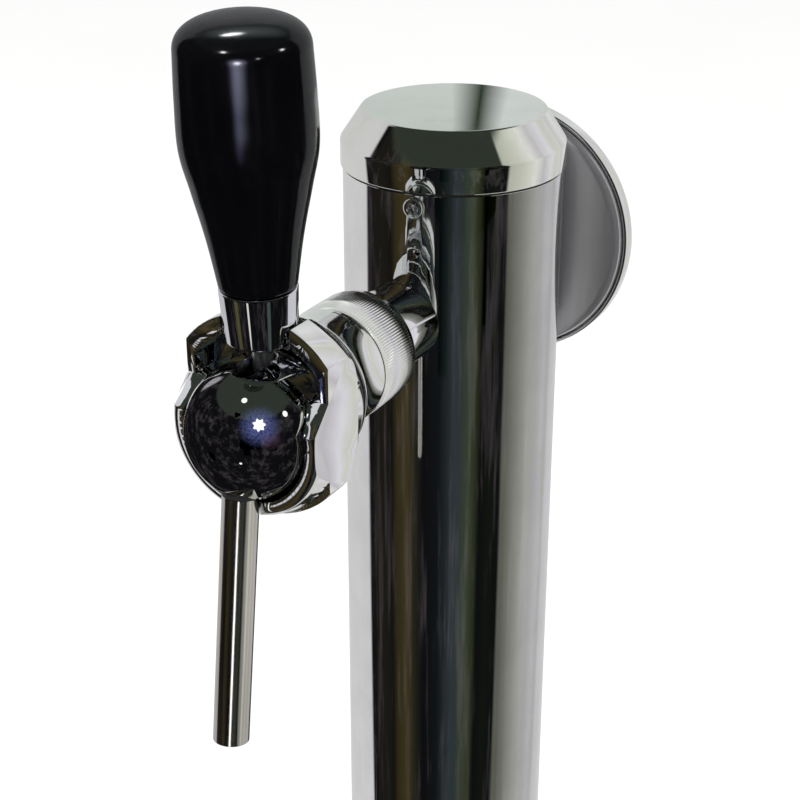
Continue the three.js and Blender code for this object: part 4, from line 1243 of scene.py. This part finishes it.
def card(name, place, aim, half, color, strength, pieces, soft, star=0.0, speckle=0.0, square=False):
    """A light with a bright core and a soft edge, round or square, that faces its aim.

    The half sizes are metres. Star deepens seven notches in the edge, speckle dims grains of the light.
    """
    bm = bmesh.new()
    bm.faces.new([bm.verts.new((x, y, 0.0)) for x, y in ((-1, -1), (1, -1), (1, 1), (-1, 1))])
    obj = mesh_object(name, bm)
    obj.location = place
    obj.rotation_euler = (aim - place).to_track_quat("Z", "Y").to_euler()
    obj.scale = (*half, 1.0)
    material, n = new_material(name)
    spot = n.add("ShaderNodeTexCoord").outputs["Object"]
    split = n.add("ShaderNodeSeparateXYZ", inputs={"Vector": spot})
    x, y = split.outputs["X"], split.outputs["Y"]
    if square:
        radius = n.math("MAXIMUM", n.math("ABSOLUTE", x), n.math("ABSOLUTE", y))
    else:
        seventh = n.math("MULTIPLY", n.math("ARCTAN2", y, x), 7.0)
        waves = n.math("MULTIPLY", n.math("COSINE", seventh), star)
        radius = n.add("ShaderNodeVectorMath", operation="LENGTH", inputs={0: spot}).outputs["Value"]
        radius = n.math("MULTIPLY", radius, n.math("ADD", waves, 1.0 + star))
    fade = n.remap(radius, 1.0 - soft, 1.0, 1.0, 0.0, smooth=True)
    if speckle:
        grains = n.remap(n.noise(spot, 9.0, 3.0, 0.7), 0.38, 0.62, 1.0 - speckle, 1.0)
        fade = n.math("MULTIPLY", fade, grains)
    close_glow(n, (*color, 1.0), n.math("MULTIPLY", fade, strength))
    mirrored_only(obj, pieces, material)


def far_card(name, azimuth, elevation, wide, tall, color, strength, pieces, near, away=1.3, **shape):
    """A card in this direction from a place near, its half sizes given as angles in degrees."""
    half = (away * math.tan(math.radians(wide)), away * math.tan(math.radians(tall)))
    card(name, near + direction(azimuth, elevation) * away, near, half, color, strength, pieces, **shape)


def only(*names):
    return [bpy.data.objects[name] for name in names]


apart = {"ball", "grip", "ferrule", "floor"}
others = [obj for obj in bpy.data.objects if obj.type == "MESH" and obj.name not in apart]
beside_column = [obj for obj in others if obj.name not in ("cap", "column")]

# The room that the metal mirrors: pale behind the camera's back and sides, dark between these azimuths
DARK_LEFT, DARK_RIGHT = -98, 58
PALE_HEIGHT = 0.74
PALE_ROOM = [
    (-180, (0.62, 0.66, 0.63)),
    (-150, (0.66, 0.65, 0.64)),
    (-120, (0.70, 0.68, 0.68)),
    (-90, (0.66, 0.65, 0.66)),
    (60, (0.50, 0.51, 0.43)),
    (76, (0.64, 0.64, 0.56)),
    (92, (0.82, 0.81, 0.76)),
    (105, (0.60, 0.57, 0.60)),
    (118, (0.80, 0.78, 0.82)),
    (129, (0.66, 0.66, 0.58)),
    (131.5, (0.78, 0.77, 0.70)),
    (133, (0.60, 0.60, 0.58)),
    (135, (0.78, 0.76, 0.84)),
    (138, (0.64, 0.63, 0.60)),
    (150, (0.80, 0.79, 0.80)),
    (168, (0.62, 0.64, 0.60)),
]
PALE_END = (180, (0.62, 0.66, 0.63))
CAP_BAND = [
    (178.05, (0.70, 0.73, 0.72)),
    (178.3, (0.02, 0.035, 0.015)),
    (179.4, (0.02, 0.035, 0.015)),
    (179.65, (0.58, 0.62, 0.59)),
    (180, (0.60, 0.64, 0.61)),
]
COLUMN_ROOM = [
    *PALE_ROOM[:4],
    (60, (0.11, 0.115, 0.09)),
    (76, (0.23, 0.23, 0.20)),
    (92, (0.38, 0.38, 0.35)),
    (105, (0.44, 0.43, 0.42)),
    (118, (0.52, 0.51, 0.52)),
    (129, (0.47, 0.47, 0.44)),
    (135, (0.60, 0.58, 0.62)),
    (150, (0.62, 0.62, 0.62)),
    PALE_END,
]
DARK_SIDE = [
    (-96, (0.0, 0.0, 0.0)),
    (-90, (0.008, 0.006, 0.003)),
    (-76, (0.008, 0.007, 0.003)),
    (-66, (0.004, 0.003, 0.0)),
    (-60, (0.030, 0.022, 0.006)),
    (-48, (0.044, 0.033, 0.008)),
    (-37, (0.012, 0.012, 0.005)),
    (-28, (0.0, 0.0, 0.0)),
    (-11, (0.002, 0.004, 0.004)),
    (-2, (0.014, 0.019, 0.020)),
    (5, (0.028, 0.038, 0.044)),
    (10, (0.026, 0.036, 0.034)),
    (15, (0.034, 0.046, 0.034)),
    (22, (0.040, 0.052, 0.026)),
    (29, (0.018, 0.024, 0.008)),
    (33, (0.0, 0.0, 0.0)),
    (44, (0.002, 0.004, 0.0)),
    (58, (0.0, 0.0, 0.0)),
]
FERRULE_SIDES = [(-180, (0.55, 0.55, 0.57)), (180, (0.66, 0.65, 0.70))]
GRIP_SIDES = [(-180, (0.24, 0.25, 0.26)), (180, (0.26, 0.27, 0.27))]
PALE_TOP = [(-180, (0.56, 0.57, 0.53))]

for name, bands, seen_by, size in (
    ("pale_room", [*PALE_ROOM, PALE_END], beside_column, 20.0),
    ("column_room", COLUMN_ROOM, only("column"), 34.0),
    ("cap_room", PALE_ROOM + CAP_BAND, only("cap"), 30.0),
):
    shell(name, DARK_LEFT, DARK_RIGHT, bands, seen_by, size, below=PALE_HEIGHT)
shell("dark_side", DARK_LEFT, DARK_RIGHT, DARK_SIDE, others, 22.0, inside=True)
shell("ferrule_sides", -112, 98, FERRULE_SIDES, only("ferrule"), 24.0)
shell("grip_sides", -124, 112, GRIP_SIDES, only("grip"), 28.0)
shell("pale_top", -75, 45, PALE_TOP, only("barrel", "clamp_nut", "neck"), 26.0, above=0.65, below=2.0)

# Cards: name, azimuth, elevation, half width and height in degrees, colour, strength and form
BALL_CARDS = [
    ("ball_star", 15, 30.2, 12, 12, WHITE, 3.0, {"soft": 0.5, "star": 0.2}),
    ("ball_halo", 15, 28, 38, 36, (0.12, 0.15, 0.40), 1.1, {"soft": 1.0, "speckle": 0.75}),
    ("ball_blush", 32, 4, 24, 18, (0.20, 0.11, 0.18), 0.35, {"soft": 1.0, "speckle": 0.8}),
    ("ball_high", -31, 67.8, 5, 5, (1.0, 1.0, 0.97), 2.2, {"soft": 0.5}),
    ("ball_right", 70, 33, 5, 5, WHITE, 2.2, {"soft": 0.5}),
    ("ball_low", -18, -32, 2.6, 2.2, WHITE, 1.4, {"soft": 0.6}),
    ("ball_window", -136, 22, 7, 16, (0.85, 0.80, 0.86), 0.7, {"soft": 0.5, "speckle": 0.8}),
]
GRIP_CARDS = [
    ("grip_star", -2.6, -3.5, 8, 8, WHITE, 26.0, {"soft": 0.6, "star": 0.2}),
    ("grip_top", -154.4, 64.7, 9, 5, WHITE, 20.0, {"soft": 0.5}),
    ("grip_left", -30.6, 38.7, 5, 5, WHITE, 20.0, {"soft": 0.5}),
    ("grip_faint", 30.9, 9.4, 4, 4, WHITE, 6.0, {"soft": 0.6}),
    ("grip_right", 77.5, 24.6, 5, 5, WHITE, 14.0, {"soft": 0.5}),
    ("grip_halo", -2.6, -3.5, 19, 19, (0.7, 0.72, 1.0), 5.0, {"soft": 1.0}),
    ("grip_line", -7, -15, 10, 18, (0.55, 0.55, 1.0), 0.9, {"soft": 1.0}),
    ("grip_crown", 180, 62, 40, 24, (0.8, 0.95, 0.95), 0.55, {"soft": 1.0}),
]
FERRULE_CARDS = [
    ("ferrule_line", -27, -27, 3, 16, (0.95, 0.97, 0.9), 0.8, {"soft": 0.4}),
    ("ferrule_olive", -64, -27, 9, 26, (0.30, 0.27, 0.12), 0.30, {"soft": 0.8}),
    ("ferrule_teal", 34, -27, 6, 26, (0.20, 0.26, 0.25), 0.30, {"soft": 0.6}),
]
SPOUT_CARDS = [
    ("spout_line", -6, -18, 5, 32, (1.0, 0.99, 0.97), 3.2, {"soft": 0.3}),
    ("spout_side", 55, -20, 18, 34, (0.55, 0.55, 0.55), 0.8, {"soft": 0.4}),
]
DISH_CARDS = [
    ("dish_glow", -74, -16, 21, 34, (0.53, 0.49, 0.57), 1.7, {"soft": 0.35, "square": True}),
]
for cards, seen_by, near in (
    (BALL_CARDS, only("ball"), BALL_AT),
    (GRIP_CARDS, only("grip"), GRIP_AT),
    (FERRULE_CARDS, only("ferrule"), FERRULE_AT),
    (SPOUT_CARDS, only("spout"), SPOUT_AT),
    (DISH_CARDS, only("dish"), DISH_AT),
):
    for *values, form in cards:
        far_card(*values, seen_by, near, **form)

# Two cards that the left of the collar's rim and the left of the mouth's bevel mirror
RIM_AT = Vector((-0.197, -0.38, 0.172))
RIM_AIM = RIM_AT + Vector((0, 1, 0))
GLINT = ((0.80, 0.80, 0.84), 0.85, only("drum"))
card("rim_glint", RIM_AT, RIM_AIM, (0.036, 0.035), *GLINT, soft=0.15, square=True)
far_card("bevel_glint", -91, 45, 13.0, 14, *GLINT, BALL_AT, away=3.0, soft=0.1, square=True)

# Polished metal mirrors a dark mottled room under a greenish ceiling, and the shells and cards above.
# Everything else is lit by an even pale sky.
world = bpy.data.worlds.new("studio")
bpy.context.scene.world = world
world.use_nodes = True
w = Nodes(world.node_tree)
WALL_DARK = (0.005, 0.005, 0.006, 1.0)
WALL_FLECKS = (0.052, 0.044, 0.048, 1.0)
CEILING = (0.034, 0.042, 0.032, 1.0)
SKY = (1.0, 1.0, 1.0, 1.0)
ray = w.add("ShaderNodeTexCoord").outputs["Generated"]
height = w.add("ShaderNodeSeparateXYZ", inputs={"Vector": ray}).outputs["Z"]
mottle = w.remap(w.noise(ray, 5.0, 6.0, 0.7), 0.51, 0.66)
walls = w.mix(mottle, WALL_DARK, WALL_FLECKS)
is_ceiling = w.remap(height, 0.60, 0.66, smooth=True)
room = w.mix(is_ceiling, walls, CEILING)
paths = w.add("ShaderNodeLightPath")
room_light = w.add("ShaderNodeBackground", inputs={"Color": room, "Strength": 1.0})
sky_light = w.add("ShaderNodeBackground", inputs={"Color": SKY, "Strength": 1.08})
both = w.add(
    "ShaderNodeMixShader",
    inputs={0: paths.outputs["Is Glossy Ray"], 1: sky_light.outputs[0], 2: room_light.outputs[0]},
)
world_out = w.add("ShaderNodeOutputWorld")
w.tree.links.new(both.outputs[0], world_out.inputs["Surface"])

camera_data = bpy.data.cameras.new("camera")
camera_data.lens = CAMERA_LENS
camera_data.sensor_width = CAMERA_SENSOR
camera = bpy.data.objects.new("camera", camera_data)
camera.location = CAMERA_AT
camera.rotation_euler = (math.pi / 2 - CAMERA_PITCH, 0.0, CAMERA_AZIMUTH)
bpy.context.scene.collection.objects.link(camera)
bpy.context.scene.camera = camera
bpy.context.scene.view_settings.view_transform = "Standard"
